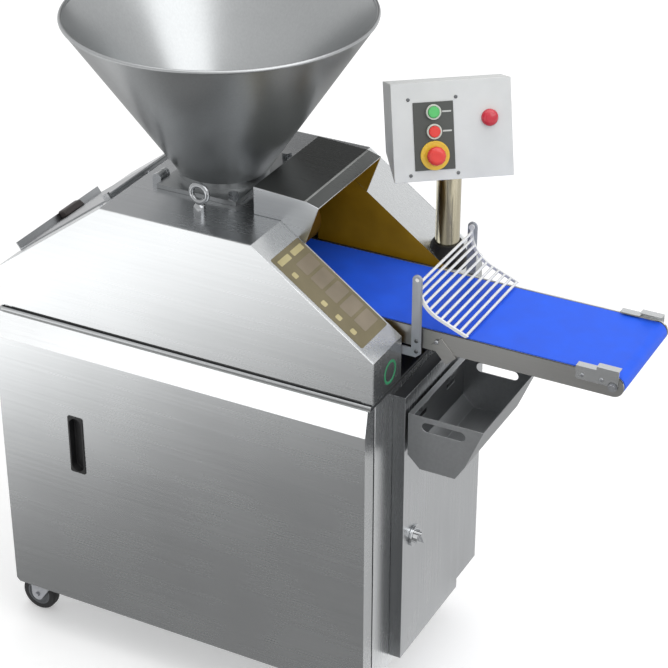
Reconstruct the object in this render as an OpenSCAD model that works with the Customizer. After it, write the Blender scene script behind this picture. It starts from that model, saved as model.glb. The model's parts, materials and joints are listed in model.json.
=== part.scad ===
/* [Body] */
// Length of the lower body along X
body_l = 848; // [820:1:880]
// Depth of the upper housing along Y
body_d = 500; // [490:1:520]
// Height of the panels' lower edges above the floor
skirt_z = 115; // [112:1:118]
// Height of the deck's upper face
deck_z = 809; // [800:1:820]
// Thickness of the deck plate
deck_t = 8; // [6:1:10]
// How far the deck stands out in front of the upper housing
deck_ledge = 6; // [4:1:10]
// Height of the seam between the deck and the front wall
seam_h = 3; // [2:0.5:5]
// Thickness of the sheet of panels, doors and covers
sheet = 3; // [2:0.5:3]
// Side of a square corner post
post_w = 40; // [30:1:44]
// Wall of a corner post
post_wall = 3; // [2:0.5:5]
// Thickness of the floor pan
pan_t = 4; // [3:0.5:8]
// Ventilation slots in one column of the back panel
vent_count = 8; // [4:1:12]
// Length of a ventilation slot
vent_l = 90; // [60:1:120]
// Height of a ventilation slot
vent_h = 5; // [3:0.5:8]
// Step from slot to slot
vent_step = 18; // [14:1:24]

/* [Front door] */
// Depth of the door's folded edge
door_t = 36; // [34:1:37]
// How far the door stands in front of the upper housing
door_proud = 14; // [12:1:15]
// How far the door covers the body's left corner
door_over = 12; // [0:1:16]
// Height of the bevel along the door's top
bevel_h = 55; // [40:1:70]
// Depth of the bevel along the door's top
bevel_d = 11; // [6:1:12]
// Cut across the door's lower corners
corner_cut = 8; // [4:1:14]
// Gap between the door's top and the deck
door_top_gap = 5; // [4:0.5:8]
// Width of the flush pull
pull_w = 33; // [28:1:40]
// Height of the flush pull
pull_h = 133; // [110:1:150]
// Depth of the flush pull
pull_d = 18; // [14:1:24]
// Wall of the flush pull
pull_wall = 2; // [1.5:0.5:3]
// Lip of the flush pull on the door
pull_lip = 2; // [1:0.5:3]
// Distance of the pull's middle from the door's left edge
pull_x = 189; // [120:1:260]
// Height of the pull's middle above the floor
pull_z = 527; // [450:1:600]
// Radius of the door's pivot pins
pivot_r = 5; // [4:0.5:6]
// Distance of the pivot axis from the door's right edge
pivot_in = 12; // [11:1:13]

/* [Side door] */
// Width of the side door along Y
side_w = 375; // [350:1:380]
// Lower edge of the side door above the floor
side_z0 = 140; // [130:1:160]
// Height of the side door
side_h = 635; // [610:1:645]
// Distance of the side door's rear edge from the back of the housing
side_back = 20; // [18:1:24]
// How far the side door's face stands off the body
side_proud = 27; // [24:1:32]
// Gap between the side door and the body
side_gap = 0.5; // [0.3:0.1:1]
// How far the side door laps over its opening
side_lap = 24; // [22:1:30]
// Width of the step in the side door's rear lower corner
notch_w = 96; // [60:1:120]
// Height of the step in the side door's rear lower corner
notch_h = 22; // [10:1:40]
// Radius of a hinge knuckle
knuckle_r = 6; // [5:0.5:7]
// Radius of a hinge pin
hinge_pin_r = 3; // [2:0.5:4]
// Length of the moving hinge knuckle
knuckle_l = 24; // [18:1:40]
// Distance of each hinge from the side door's ends
hinge_end = 80; // [60:1:140]
// Height of the latch above the floor
latch_z = 423; // [380:1:470]
// Distance of the latch from the side door's free edge
latch_in = 50; // [46:1:54]
// Radius of the latch's rose
latch_r = 23; // [18:0.5:28]
// Length of the latch's tongue
tongue_l = 46; // [44:1:50]

/* [Upper housing] */
// Overhang of the housing past the body's right face
housing_over = 9; // [6:1:12]
// Setback of the housing from the body's left face
housing_set = 5; // [2:1:10]
// Height of the vertical walls below the slopes
wall_h = 92; // [80:1:100]
// Height of the slopes
slope_h = 187; // [180:1:195]
// Run of the left slope
slope_run_l = 255; // [245:1:262]
// Run of the right slope
slope_run_r = 260; // [250:1:270]
// Width of the outlet channel between the cheeks
channel_w = 259; // [256:1:266]
// Reach of the hood to the right of the flat top
hood_reach = 83; // [70:1:100]
// Reach of the hood over the flat top
hood_back = 59; // [50:1:66]
// Height of the hood above the flat top
hood_h = 59; // [50:1:70]
// Drop of the hood's top at its outlet edge
hood_drop = 15; // [8:1:20]
// Width of the folded strip along the hood's outlet edge
hood_fold = 51; // [30:1:60]
// How far the hood's outlet edge leans outwards at its top
hood_lean = 30; // [20:1:36]
// Width of the left hatch along Y
hatch_w = 300; // [260:1:310]
// Offset of the hatch's middle from the middle plane
hatch_y = -29; // [-40:1:0]
// Height of the hatch's raised lip
hatch_lip = 18; // [12:1:24]
// Length of the hatch's handle
hatch_grip = 64; // [50:1:100]
// Offset of the handle's middle from the hatch's middle
grip_y = 32; // [0:1:60]
// Radius of the hatch's hinge rod
hatch_rod_r = 3; // [2:0.5:3.5]
// Ring radius of the lifting eye, to the middle of its bar
eye_ring_r = 16; // [14:0.5:20]
// Bar radius of the lifting eye
eye_bar_r = 5; // [4:0.5:6]
// Radius of the lifting eye's shank
eye_shank_r = 12; // [9:0.5:14]
// Length of the lifting eye's shank
eye_shank_h = 36; // [28:1:44]

/* [Hopper] */
// Height of the hopper's rim above the floor
hopper_top_z = 1435; // [1400:1:1480]
// Radius of the hopper's rim
hopper_r = 310; // [290:1:325]
// Radius of the hopper's neck
hopper_neck_r = 93; // [90:1:96]
// Wall of the hopper
hopper_wall = 2; // [1.5:0.5:3]
// Radius of the hopper's rolled rim
rim_r = 4; // [3:0.5:6]
// Length of the hopper's base flange along X
flange_l = 180; // [174:1:190]
// Reach of the base flange to the right of the hopper's axis
flange_right = 96; // [94:1:98]
// Width of the hopper's base flange along Y
flange_w = 240; // [230:1:250]
// Thickness of the hopper's base flange
flange_t = 9; // [6:0.5:12]
// Height of the hopper's neck above the flange
neck_h = 11; // [8:1:20]
// Distance of the hopper's axis from the right edge of the flat top
hopper_set = 202; // [199:1:206]
// Distance of each hopper hinge from the middle plane
hopper_hinge_y = 85; // [75:1:95]

/* [Dividing unit] */
// Radius of the measuring drum
drum_r = 58; // [52:1:60]
// Length of the measuring drum
drum_l = 170; // [150:1:180]
// Running gap around the drum
drum_gap = 0.5; // [0.4:0.1:1]
// Gap between the drum and the belt
drop_gap = 6; // [5:0.5:7]
// Distance of the drum's axis from the right edge of the flat top
drum_set = 86; // [82:1:90]
// Radius of the drum's shaft
drum_shaft_r = 12; // [10:0.5:14]
// Radius of the ram
ram_r = 45; // [40:0.5:46]
// Length of the ram
ram_l = 140; // [136:1:144]
// Stroke of the ram
ram_stroke = 100; // [90:1:102]
// Radius of the dough throat
throat_r = 44; // [38:0.5:45]
// Width of the chamber block along Y
chamber_w = 190; // [182:1:196]
// Length of the chamber block behind the hopper's axis
chamber_back = 107; // [100:1:110]
// Radius of the measuring piston
piston_r = 38; // [30:0.5:40]
// Depth of the measuring pocket
pocket_d = 40; // [30:1:44]
// Thickness of the measuring piston
piston_t = 10; // [8:1:14]
// Length of the rocker lever
lever_l = 285; // [280:1:290]
// Thickness of the rocker lever
lever_t = 20; // [14:1:22]
// Radius of the rocker shaft
rocker_shaft_r = 20; // [16:0.5:22]
// Radius of the lever's driving pin
drive_pin_r = 10; // [8:0.5:11]
// Length of the gear case
case_l = 220; // [200:1:230]
// Depth of the gear case along Y
case_w = 166; // [150:1:176]
// Depth of the gear case below the rocker shaft
case_drop = 95; // [80:1:105]
// How far the rocker shaft reaches into the gear case
shaft_in = 40; // [30:1:60]
// Radius of the motor
motor_r = 80; // [65:1:85]
// Length of the motor
motor_l = 250; // [200:1:280]
// Length of the motor's terminal box
terminal_l = 100; // [80:1:120]
// Width of the motor's terminal box
terminal_w = 90; // [70:1:110]
// Length of the electrical box along X
cabinet_l = 200; // [160:1:240]
// Depth of the electrical box along Y
cabinet_d = 110; // [90:1:130]
// Height of the electrical box
cabinet_h = 260; // [220:1:300]
// Distance of the electrical box from the body's right face
cabinet_x = 130; // [110:1:160]
// Height of the electrical box's underside above the floor
cabinet_z = 250; // [220:1:280]

/* [Conveyor] */
// Reach of the belt past the body's right face
belt_reach = 455; // [430:1:480]
// Height of the belt's upper face above the floor
belt_z = 923; // [920:0.5:926]
// Width of the belt
belt_w = 225; // [215:1:227]
// Thickness of the belt
belt_t = 2; // [1.5:0.5:3]
// Radius of the belt's outer turn
belt_r = 21; // [20:0.5:22]
// Thickness of the side rails
rail_t = 4; // [3:0.5:5]
// Gap between the belt and each side rail
rail_gap = 3.5; // [2:0.5:4]
// Radius of the roller journals
journal_r = 8; // [6:0.5:9]
// Length of a tension clip
clip_l = 44; // [30:1:60]
// Height of a tension clip above the belt
clip_h = 14; // [8:1:18]
// Length of the flat strip beside a tension clip
strip_l = 40; // [30:1:50]

/* [Hand guard] */
// Distance of the guard posts from the body's right face
guard_x = 38; // [34:1:42]
// Width of a guard post
guard_w = 20; // [18:1:24]
// Thickness of a guard post
guard_t = 4; // [3:0.5:5]
// Height of the guard's pivot above the belt
guard_pivot_h = 105; // [100:1:110]
// Depth of a guard post's foot below the belt
guard_foot = 62; // [56:1:66]
// Height of a guard post's foot
foot_h = 18; // [14:1:24]
// Rods in the guard
rod_count = 11; // [9:1:13]
// Radius of a guard rod
rod_r = 2.8; // [2:0.1:3]
// Length of the guard's straight upper part
guard_drop = 10; // [6:1:14]
// Bend radius of the guard
guard_bend_r = 70; // [60:1:76]
// Slant of the guard's lower part
guard_slant = 22; // [20:1:26]
// Height of the guard's lower end above the belt
guard_clear = 6.3; // [6:0.1:9]

/* [Tray] */
// Width of the tray along Y
tray_w = 260; // [240:1:270]
// Offset of the tray's middle from the middle plane
tray_y = -10; // [-14:1:0]
// Upper edge of the tray above the floor
tray_z1 = 740; // [730:1:745]
// Depth of the tray
tray_h = 122; // [110:1:130]
// Reach of the tray's rim
tray_reach = 160; // [150:1:180]
// Width of the tray's floor
tray_floor = 76; // [66:1:84]
// Sheet thickness of the tray
tray_t = 2; // [1.5:0.5:3]
// Length of a hand slot
hand_l = 92; // [80:1:96]
// Height of a hand slot
hand_h = 20; // [18:1:26]
// Gap between the tray and the side door
tray_gap = 4; // [3:0.5:6]
// Width of the folded hem along the tray's rear rim
tray_hem = 12; // [8:1:16]
// Width of a tray hook
hook_w = 36; // [24:1:44]
// Thickness of a tray hook
hook_t = 4; // [3:0.5:5]

/* [Control head] */
// Radius of the control post
stand_r = 25; // [22:0.5:26]
// Distance of the control post from the body's right face
stand_x = 37; // [34:1:42]
// Distance of the control post from the middle plane
stand_y = 172; // [170:1:178]
// Height of the control box's underside at the post
head_z = 1101; // [1080:1:1130]
// How far the post reaches into the control box
stand_in = 22; // [16:1:28]
// Turn of the control box about the post
head_yaw = 37; // [20:1:50]
// Tilt of the control box's face
head_tilt = 18.5; // [10:0.5:22]
// Width of the control box
box_w = 239; // [220:1:260]
// Height of the control box
box_h = 193; // [180:1:210]
// Depth of the control box
box_d = 84; // [80:1:95]
// Sheet thickness of the control box
box_t = 2; // [1.5:0.5:3]
// Rise of the control box's underside from its face to its back
box_rise = 52; // [40:1:60]
// How far the post stands behind the box's middle
stand_back = 9; // [6:1:11]
// Width of the button plate
plate_w = 80; // [74:1:90]
// Height of the button plate
plate_h = 133; // [130:1:140]
// Distance of the buttons left of the box's middle
button_x = 37.5; // [30:0.5:45]
// Step from button to button
button_step = 38; // [34:0.5:40]
// Radius of a push button's bezel
bezel_r = 15; // [13:0.5:16]
// Travel of a push button
button_travel = 4; // [3:0.5:6]
// Radius of the stop button's collar
collar_r = 29; // [26:0.5:30]
// Radius of the stop button's head
stop_r = 19; // [16:0.5:22]
// Distance of the lamp right of the box's middle
lamp_x = 74.5; // [60:0.5:90]
// Radius of the lamp
lamp_r = 17; // [12:0.5:20]
// Radius of the boot around the post's foot
boot_r = 41; // [36:0.5:42]
// Height of the boot's top above the slope at the post
boot_h = 24; // [18:1:40]

/* [Castors] */
// Radius of a castor wheel
wheel_r = 42; // [40:0.5:46]
// Width of a castor wheel
wheel_w = 25; // [22:1:32]
// Radius of a castor wheel's hub
hub_r = 29; // [24:0.5:32]
// Height of a castor to its top plate
castor_h = 130; // [124:1:136]
// Trail of a castor
trail = 36; // [30:1:40]
// Distance of the right castors from the body's right face
castor_right = 96; // [80:1:140]
// Side of a castor's top plate
castor_plate = 58; // [50:1:58]
// Radius of a castor's swivel head
swivel_r = 21; // [18:0.5:24]
// Radius of a castor's king pin
king_r = 6; // [5:0.5:8]
// Radius of a castor's axle
axle_r = 5; // [4:0.5:6]

/* [Fits] */
// Radial clearance of a shaft or pin in its hole
run_fit = 0.05; // [0.02:0.01:0.1]
// Gap between faces that move past each other
slip = 0.3; // [0.3:0.05:0.6]

/* [Hidden] */
$fn = 96;
// Small overlap that carries a cut through a face
cut = 1;

// Body limits along X: the tail of the belt and the left castor wheel set the ends
castor_in = castor_plate / 2 + sheet + 2;
body_x1 = (body_l - castor_in + trail + wheel_r - belt_reach) / 2;
body_x0 = body_x1 - body_l;
back_y = body_d / 2;
front_y = -back_y;
door_y0 = front_y - door_proud;
door_y1 = door_y0 + door_t;
pivot_y = door_y1 - pivot_in;
frame_y0 = door_y1 + 6;
frame_y1 = back_y - sheet;
pan_x0 = body_x0 + sheet;
pan_x1 = body_x1 - sheet;
pan_z1 = castor_h + pan_t;
deck_z0 = deck_z - deck_t;

// Front door
door_x0 = body_x0 - door_over;
door_x1 = body_x1;
door_z1 = deck_z0 - door_top_gap;
bevel_z = door_z1 - bevel_h;
pivot_x = door_x1 - pivot_in;
pull_mid = [door_x0 + pull_x, pull_z];
pivot_tab_t = 5;

// Side door and its hinges
side_y1 = back_y - side_back;
side_y0 = side_y1 - side_w;
side_z1 = side_z0 + side_h;
side_x0 = body_x1 + side_gap;
side_x1 = body_x1 + side_proud;
hinge_x = body_x1 + 10;
hinge_y = side_y1 + knuckle_r + 1.5;
hinge_zs = [side_z0 + notch_h + hinge_end, side_z1 - hinge_end];
open_y0 = side_y0 + side_lap;
open_y1 = side_y1 - side_lap;
open_z0 = side_z0 + notch_h + side_lap;
open_z1 = side_z1 - side_lap;
latch_y = side_y0 + latch_in;
latch_shaft_r = 7;
tongue_t = 4;
tongue_x = body_x1 - sheet - 1;

// Upper housing
housing_x0 = body_x0 + housing_set;
housing_x1 = body_x1 + housing_over;
shoulder_z = deck_z + wall_h;
top_z = shoulder_z + slope_h;
top_x0 = housing_x0 + slope_run_l;
top_x1 = housing_x1 - slope_run_r;
channel_y = channel_w / 2;
slope_a = atan2(slope_h, slope_run_l);
slope_len = norm([slope_h, slope_run_l]);
slope_r = slope_h / slope_run_r;
housing_outline = [
    [housing_x0, deck_z],
    [housing_x1, deck_z],
    [housing_x1, shoulder_z],
    [top_x1, top_z],
    [top_x0, top_z],
    [housing_x0, shoulder_z]
];
hood_x0 = top_x1 - hood_back;
hood_x1 = top_x1 + hood_reach;
hood_z = top_z + hood_h;
hood_outline = [
    [hood_x0, top_z],
    [top_x1, top_z],
    [hood_x1 - hood_lean, top_z - (hood_reach - hood_lean) * slope_r],
    [hood_x1, hood_z - hood_drop],
    [hood_x1 - hood_fold, hood_z - hood_drop / 3],
    [hood_x0, hood_z]
];
hatch_y0 = hatch_y - hatch_w / 2;
hatch_y1 = hatch_y + hatch_w / 2;
hatch_u0 = 6;
hatch_u1 = slope_len - 26;
hatch_rod_n = 8;
hatch_ear = 7;
hatch_rim = 20;
eye_x = top_x1 - 151;
eye_y = front_y + 70;
eye_z = top_z + eye_shank_h + eye_ring_r;

// Hopper
hopper_x = top_x1 - hopper_set;
flange_x1 = hopper_x + flange_right;
flange_x0 = flange_x1 - flange_l;
flange_z0 = top_z + slip;
flange_z1 = flange_z0 + flange_t;
neck_z = flange_z1 + neck_h;
lug_r = 10;
lug_t = 8;
lug_pin_r = 5;
lug_gap = 18;
hopper_axis_x = flange_x0 - lug_r - 1;
hopper_axis_z = top_z + lug_r + 1;
clamp_r = 6;
clamp_head_r = 11;

// Conveyor
tail_x = body_x1 + belt_reach - belt_r;
roller_z = belt_z - belt_r;
roller_r = belt_r - belt_t - slip;
rail_y0 = belt_w / 2 + rail_gap;
rail_y1 = rail_y0 + rail_t;

// Dividing unit
drum_x = top_x1 - drum_set;
drum_z = belt_z + drop_gap + drum_r;
drive_x = drum_x - 45;
chamber_y = chamber_w / 2;
chamber_x0 = hopper_x - chamber_back;
chamber_x1 = drum_x - 15;
chamber_z0 = belt_z + 7;
chamber_z1 = top_z - sheet;
plinth_x1 = drive_x - belt_r - 48;
plinth_y = chamber_y - 15;
throat_top_r = hopper_neck_r - 13;
funnel_z = drum_z + ram_r + 8;
ram_x1 = hopper_x - throat_r - 8;
ram_x0 = ram_x1 - ram_l;
ram_swing = asin(ram_stroke / 2 / lever_l);
drive_pin_x = ram_x0 + 24;
ram_tail = 30;
lever_x = drive_pin_x + ram_stroke / 2;
lever_z = drum_z - lever_l * (1 + cos(ram_swing)) / 2;
lever_slot = lever_t / 2 + 4;
lever_w0 = 30;
lever_w1 = 14;
lever_slot_x1 = lever_x + ram_stroke / 2 + lever_w1 + 6;
cheek_t = 16;
pin_play = 1;
case_y0 = lever_t / 2 + 14;
case_y1 = case_y0 + case_w;
case_x0 = lever_x - case_l / 2;
case_x1 = lever_x + case_l / 2;
case_z0 = lever_z - case_drop;
bearing_y0 = -case_y0 - 28;
motor_y = (case_y0 + case_y1) / 2;
motor_flange_r = motor_r + 12;
motor_flange_t = 14;
cabinet_x1 = body_x1 - cabinet_x;

// Hand guard
post_y1 = channel_y - 2;
post_y0 = post_y1 - guard_t;
bar_y1 = post_y0 - 0.5;
bar_y0 = bar_y1 - guard_t;
bar_w = 6;
guard_post_x = body_x1 + guard_x;
guard_z = belt_z + guard_pivot_h;
guard_pin_r = 4;
guard_run = (guard_pivot_h - guard_clear - guard_drop - guard_bend_r * cos(guard_slant)) / sin(guard_slant);
foot_z0 = belt_z - guard_foot;

// Tray: outline from the rim's back corner round the floor to the rim's front corner
tray_x0 = side_x1 + tray_gap;
tray_z0 = tray_z1 - tray_h;
tray_y0 = tray_y - tray_w / 2;
tray_y1 = tray_y + tray_w / 2;
tray_bend = 27;
tray_floor_x1 = tray_x0 + tray_bend + tray_floor;
tray_front = [
    [tray_floor_x1, tray_z0],
    [tray_floor_x1 + 20, tray_z0 + 32],
    [tray_x0 + tray_reach, tray_z1]
];
tray_outline = [
    [tray_x0, tray_z1],
    [tray_x0, tray_z0 + tray_bend],
    [tray_x0 + tray_bend, tray_z0],
    tray_front[0],
    tray_front[1],
    tray_front[2]
];
tray_hollow = [
    [tray_x0, 2 * tray_z1 - tray_z0],
    tray_outline[1],
    tray_outline[2],
    tray_front[0],
    tray_front[1],
    tray_front[1] + 2 * (tray_front[2] - tray_front[1])
];
hand_x = tray_x0 + 76;
hand_z = tray_z1 - 22;
hook_lip = 9;
hook_ys = [tray_y - tray_w / 4, tray_y + tray_w / 4];
hook_z = tray_z1 - 16;
hook_x1 = tray_x0 + 9;
hook_slot_h = 26;

// Control head
stand_px = body_x1 - stand_x;
stand_slope_z = shoulder_z + (housing_x1 - stand_px) * slope_r;
stand_top = head_z + box_rise * (box_d / 2 + stand_back) / box_d + stand_in;
face_y = -box_d / 2;
cover_t = 3;
panel_t = 2;
bezel_h = 6;
cap_r = bezel_r - 3.6;
stem_r = 8;
stem_l = 22;
stop_z = -button_step - 9;
stop_travel = 5;
collar_t = 3;
lamp_z = 20;
plate_mid_z = -9;

// Castors
castor_x = [body_x0 + castor_in, body_x1 - castor_right];
castor_y = [frame_y0 + castor_plate / 2 + 1, frame_y1 - castor_plate / 2 - 2];
plate_t = 6;
fork_t = 3;
fork_gap = 2;
fork_z0 = wheel_r * 2 + 5;
fork_z1 = fork_z0 + 6;
head_top = castor_h - plate_t - slip;

// Box between two corners
module block(a, b) {
    translate(a) cube(b - a);
}

// Round bars along the three axes
module bar_x(x0, x1, y, z, r) {
    translate([x0, y, z]) rotate([0, 90, 0]) cylinder(r = r, h = x1 - x0);
}
module bar_y(x, y0, y1, z, r) {
    translate([x, y0, z]) rotate([-90, 0, 0]) cylinder(r = r, h = y1 - y0);
}
module bar_z(x, y, z0, z1, r) {
    translate([x, y, z0]) cylinder(r = r, h = z1 - z0);
}

// Outline in X and Z, extruded along Y
module along_y(y0, y1) {
    translate([0, y1, 0]) rotate([90, 0, 0]) linear_extrude(y1 - y0) children();
}

// Outline in Y and Z, extruded along X
module along_x(x0, x1) {
    translate([x0, 0, 0]) rotate([90, 0, 90]) linear_extrude(x1 - x0) children();
}

// Outline with round ends, w wide and h high
module stadium(w, h) {
    r = min(w, h) / 2;
    square([w > h ? w - 2 * r : w, w > h ? h : h - 2 * r], center = true);
    for (s = [-1, 1])
        translate(w > h ? [s * (w / 2 - r), 0] : [0, s * (h / 2 - r)]) circle(r);
}

// Children and their mirror image across the middle plane
module both_sides() {
    children();
    mirror([0, 1, 0]) children();
}

// Corners of a counter-clockwise outline whose sides have all moved inwards by t
function inward(a, b) = let (d = (b - a) / norm(b - a)) [-d[1], d[0]];
function inset_corner(a, b, c, t) =
    let (n = inward(a, b), m = inward(b, c)) b + (n + m) * t / (1 + n * m);
function inset(p, t) =
    let (k = len(p))
    [for (i = [0:k - 1]) inset_corner(p[(i + k - 1) % k], p[i], p[(i + 1) % k], t)];

// Lower body

module floor_pan() {
    color("silver")
    block([pan_x0, frame_y0, castor_h], [pan_x1, frame_y1, pan_z1]);
}

module corner_posts() {
    color("silver")
    for (x = [pan_x0, pan_x1 - post_w], y = [frame_y0, frame_y1 - post_w])
        difference() {
            block([x, y, pan_z1], [x + post_w, y + post_w, deck_z0]);
            block(
                [x + post_wall, y + post_wall, pan_z1 - cut],
                [x + post_w - post_wall, y + post_w - post_wall, deck_z0 + cut]
            );
        }
}

module deck_plate() {
    slot_x0 = lever_x - ram_stroke / 2 - lever_w0;
    color("gainsboro")
    difference() {
        block([housing_x0, front_y - deck_ledge, deck_z0], [housing_x1, back_y, deck_z]);
        block([slot_x0, -lever_slot, deck_z0 - cut], [lever_slot_x1, lever_slot, deck_z + cut]);
    }
}

module left_panel() {
    color("gainsboro")
    block([body_x0, frame_y0, skirt_z], [pan_x0, frame_y1, deck_z0]);
}

module back_panel() {
    vent_z = deck_z0 - 120;
    color("gainsboro")
    difference() {
        block([body_x0, frame_y1, skirt_z], [body_x1, back_y, deck_z0]);
        for (s = [1, 2], i = [0:vent_count - 1])
            translate([body_x0 + s * body_l / 3, frame_y1 - cut, vent_z - i * vent_step])
                translate([-vent_l / 2, 0, 0]) cube([vent_l, sheet + 2 * cut, vent_h]);
    }
}

module right_panel() {
    color("gainsboro")
    difference() {
        block([pan_x1, frame_y0, skirt_z], [body_x1, frame_y1, deck_z0]);
        block([pan_x1 - cut, open_y0, open_z0], [body_x1 + cut, open_y1, open_z1]);
    }
}

// Pivot tabs of the front door, and the fixed halves of the side door's hinges
module door_hinges() {
    tab_y1 = frame_y0 + 10;
    tab_r = pivot_in - 2;
    upstand_t = 2;
    low_z1 = skirt_z - slip;
    low_z0 = low_z1 - pivot_tab_t;
    pin_in = 12;
    color("dimgray") {
        bar_z(pivot_x, pivot_y, low_z0, low_z1, tab_r);
        bar_z(pivot_x, pivot_y, low_z0, low_z1 + pin_in, pivot_r);
        block([pivot_x - tab_r, pivot_y, low_z0], [pan_x1, tab_y1, low_z1]);
        block([pan_x1 - upstand_t, frame_y0, low_z0], [pan_x1, tab_y1 + 2 * pin_in, castor_h]);
        bar_z(pivot_x, pivot_y, door_z1 + slip, deck_z0, tab_r);
        bar_z(pivot_x, pivot_y, door_z1 - pin_in, deck_z0, pivot_r);
        for (z = hinge_zs) {
            bar_z(hinge_x, hinge_y, z - knuckle_l, z + knuckle_l, hinge_pin_r);
            for (s = [0, 1]) {
                z0 = s ? z + knuckle_l / 2 + slip : z - knuckle_l;
                z1 = s ? z + knuckle_l : z - knuckle_l / 2 - slip;
                bar_z(hinge_x, hinge_y, z0, z1, knuckle_r);
                block([body_x1, hinge_y - knuckle_r / 2, z0], [hinge_x, hinge_y + knuckle_r / 2, z1]);
            }
        }
    }
}

module castor_plates() {
    color("silver")
    for (x = castor_x, y = castor_y) {
        block(
            [x - castor_plate / 2, y - castor_plate / 2, castor_h - plate_t],
            [x + castor_plate / 2, y + castor_plate / 2, castor_h]
        );
        bar_z(x, y, fork_z0 - 9, castor_h - plate_t, king_r);
        bar_z(x, y, fork_z0 - 9, fork_z0 - slip, king_r + 4);
    }
}

// Upper housing

// Front wall: stands on the deck at its ends and leaves a seam between them
module housing_front() {
    seam_in = 26;
    color("gainsboro")
    difference() {
        along_y(front_y, front_y + sheet) polygon(housing_outline);
        block(
            [housing_x0 + seam_in, front_y - cut, deck_z - cut],
            [housing_x1 - seam_in, front_y + sheet + cut, deck_z + seam_h]
        );
    }
}

module housing_back() {
    color("gainsboro")
    along_y(back_y - sheet, back_y) polygon(housing_outline);
}

// Places children on the left slope: X up the slope, Z away from it
module on_left_slope() {
    translate([housing_x0, 0, shoulder_z]) rotate([0, -slope_a, 0]) children();
}

module housing_left() {
    inner_x = housing_x0 + sheet;
    rise = tan(slope_a);
    drop = sheet / cos(slope_a);
    color("gainsboro")
    difference() {
        union() {
            along_y(front_y + sheet, back_y - sheet)
                polygon([
                    [housing_x0, deck_z],
                    [inner_x, deck_z],
                    [inner_x, shoulder_z + sheet * rise - drop],
                    [top_x0, top_z - drop],
                    [top_x0, top_z],
                    [housing_x0, shoulder_z]
                ]);
            on_left_slope()
                for (y = [hatch_y0 - slip - hatch_ear, hatch_y1 + slip])
                    block([hatch_u1 - 8, y, -sheet], [hatch_u1 + 8, y + hatch_ear, hatch_rod_n + 6]);
        }
        on_left_slope() {
            block(
                [hatch_u0 + hatch_rim, hatch_y0 + hatch_rim, -2 * sheet],
                [hatch_u1 - hatch_rim, hatch_y1 - hatch_rim, cut]
            );
            bar_y(hatch_u1, hatch_y0 - hatch_ear - cut, hatch_y1 + hatch_ear + cut,
                hatch_rod_n, hatch_rod_r + run_fit);
        }
    }
}

module left_hatch() {
    color("darkgray")
    on_left_slope() {
        block([hatch_u0, hatch_y0, slip], [hatch_u1, hatch_y1, slip + sheet]);
        block([hatch_u0, hatch_y0, slip], [hatch_u0 + sheet, hatch_y1, hatch_lip]);
        block([hatch_u1 - hatch_rod_r, hatch_y0, slip], [hatch_u1, hatch_y1, hatch_rod_n]);
        bar_y(hatch_u1, hatch_y0 - hatch_ear, hatch_y1 + hatch_ear, hatch_rod_n, hatch_rod_r);
    }
}

module hatch_handle() {
    color("black")
    on_left_slope()
    translate([hatch_u0 + sheet, hatch_y + grip_y, slip + sheet])
    rotate([90, 0, 0])
    translate([0, 0, -hatch_grip / 2])
    linear_extrude(hatch_grip)
    polygon([[0, 0], [22, 0], [16, hatch_lip - 4], [0, hatch_lip]]);
}

module housing_top() {
    color("gainsboro") hopper_lugs();
    color("gainsboro")
    difference() {
        block([top_x0, front_y + sheet, top_z - sheet], [top_x1, back_y - sheet, top_z]);
        bar_z(hopper_x, 0, top_z - sheet - cut, top_z + cut, throat_top_r);
        block(
            [hood_x0 + sheet, -channel_y, top_z - sheet - cut],
            [top_x1 + cut, channel_y, top_z + cut]
        );
    }
}

// Cheek beside the channel: slope, end wall and channel wall, open towards the front wall
module cheek() {
    outer = [
        [housing_x1, deck_z],
        [housing_x1, shoulder_z],
        [top_x1, top_z]
    ];
    drop = sheet * norm([1, slope_r]);
    color("gainsboro") {
        along_y(front_y + sheet, -channel_y)
            polygon([
                outer[0],
                outer[1],
                outer[2],
                outer[2] - [0, drop],
                outer[1] + [-sheet, sheet * slope_r - drop],
                outer[0] - [sheet, 0]
            ]);
        along_y(-channel_y - sheet, -channel_y)
            polygon([
                [hood_x0, deck_z],
                outer[0],
                outer[1],
                outer[2],
                outer[2] - [0, sheet],
                [hood_x0, top_z - sheet]
            ]);
    }
}

module near_cheek() {
    cheek();
}

module far_cheek() {
    color("gainsboro")
    difference() {
        mirror([0, 1, 0]) cheek();
        bar_z(stand_px, stand_y, deck_z + cut, top_z, stand_r + slip);
    }
}

module outlet_hood() {
    hollow = inset(hood_outline, sheet);
    color("gray")
    difference() {
        along_y(-channel_y - sheet, channel_y + sheet) polygon(hood_outline);
        along_y(-channel_y, channel_y)
            polygon([
                [hood_x0 + sheet, top_z - hood_h],
                [hood_x1 + cut, top_z - 2 * hood_h],
                [hood_x1 + cut, hollow[3][1] - cut * hood_drop / hood_fold],
                hollow[4],
                hollow[5]
            ]);
    }
}

module lifting_eye() {
    color("silver") {
        bar_z(eye_x, eye_y, top_z, top_z + eye_shank_h, eye_shank_r);
        translate([eye_x, eye_y, eye_z])
            rotate([90, 0, 0]) rotate_extrude() translate([eye_ring_r, 0]) circle(eye_bar_r);
    }
}

// Hopper

// Fixed lugs and pins of the hopper's hinges, welded to the flat top
module hopper_lugs() {
    for (s = [-1, 1]) {
        y = s * hopper_hinge_y;
        bar_y(hopper_axis_x, y - lug_gap / 2 - lug_t, y + lug_gap / 2 + lug_t, hopper_axis_z, lug_pin_r);
        for (y0 = [y - lug_gap / 2 - lug_t, y + lug_gap / 2]) {
            bar_y(hopper_axis_x, y0, y0 + lug_t, hopper_axis_z, lug_r);
            block([hopper_axis_x - lug_r, y0, top_z], [hopper_axis_x + lug_r, y0 + lug_t, hopper_axis_z]);
        }
    }
}

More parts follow.
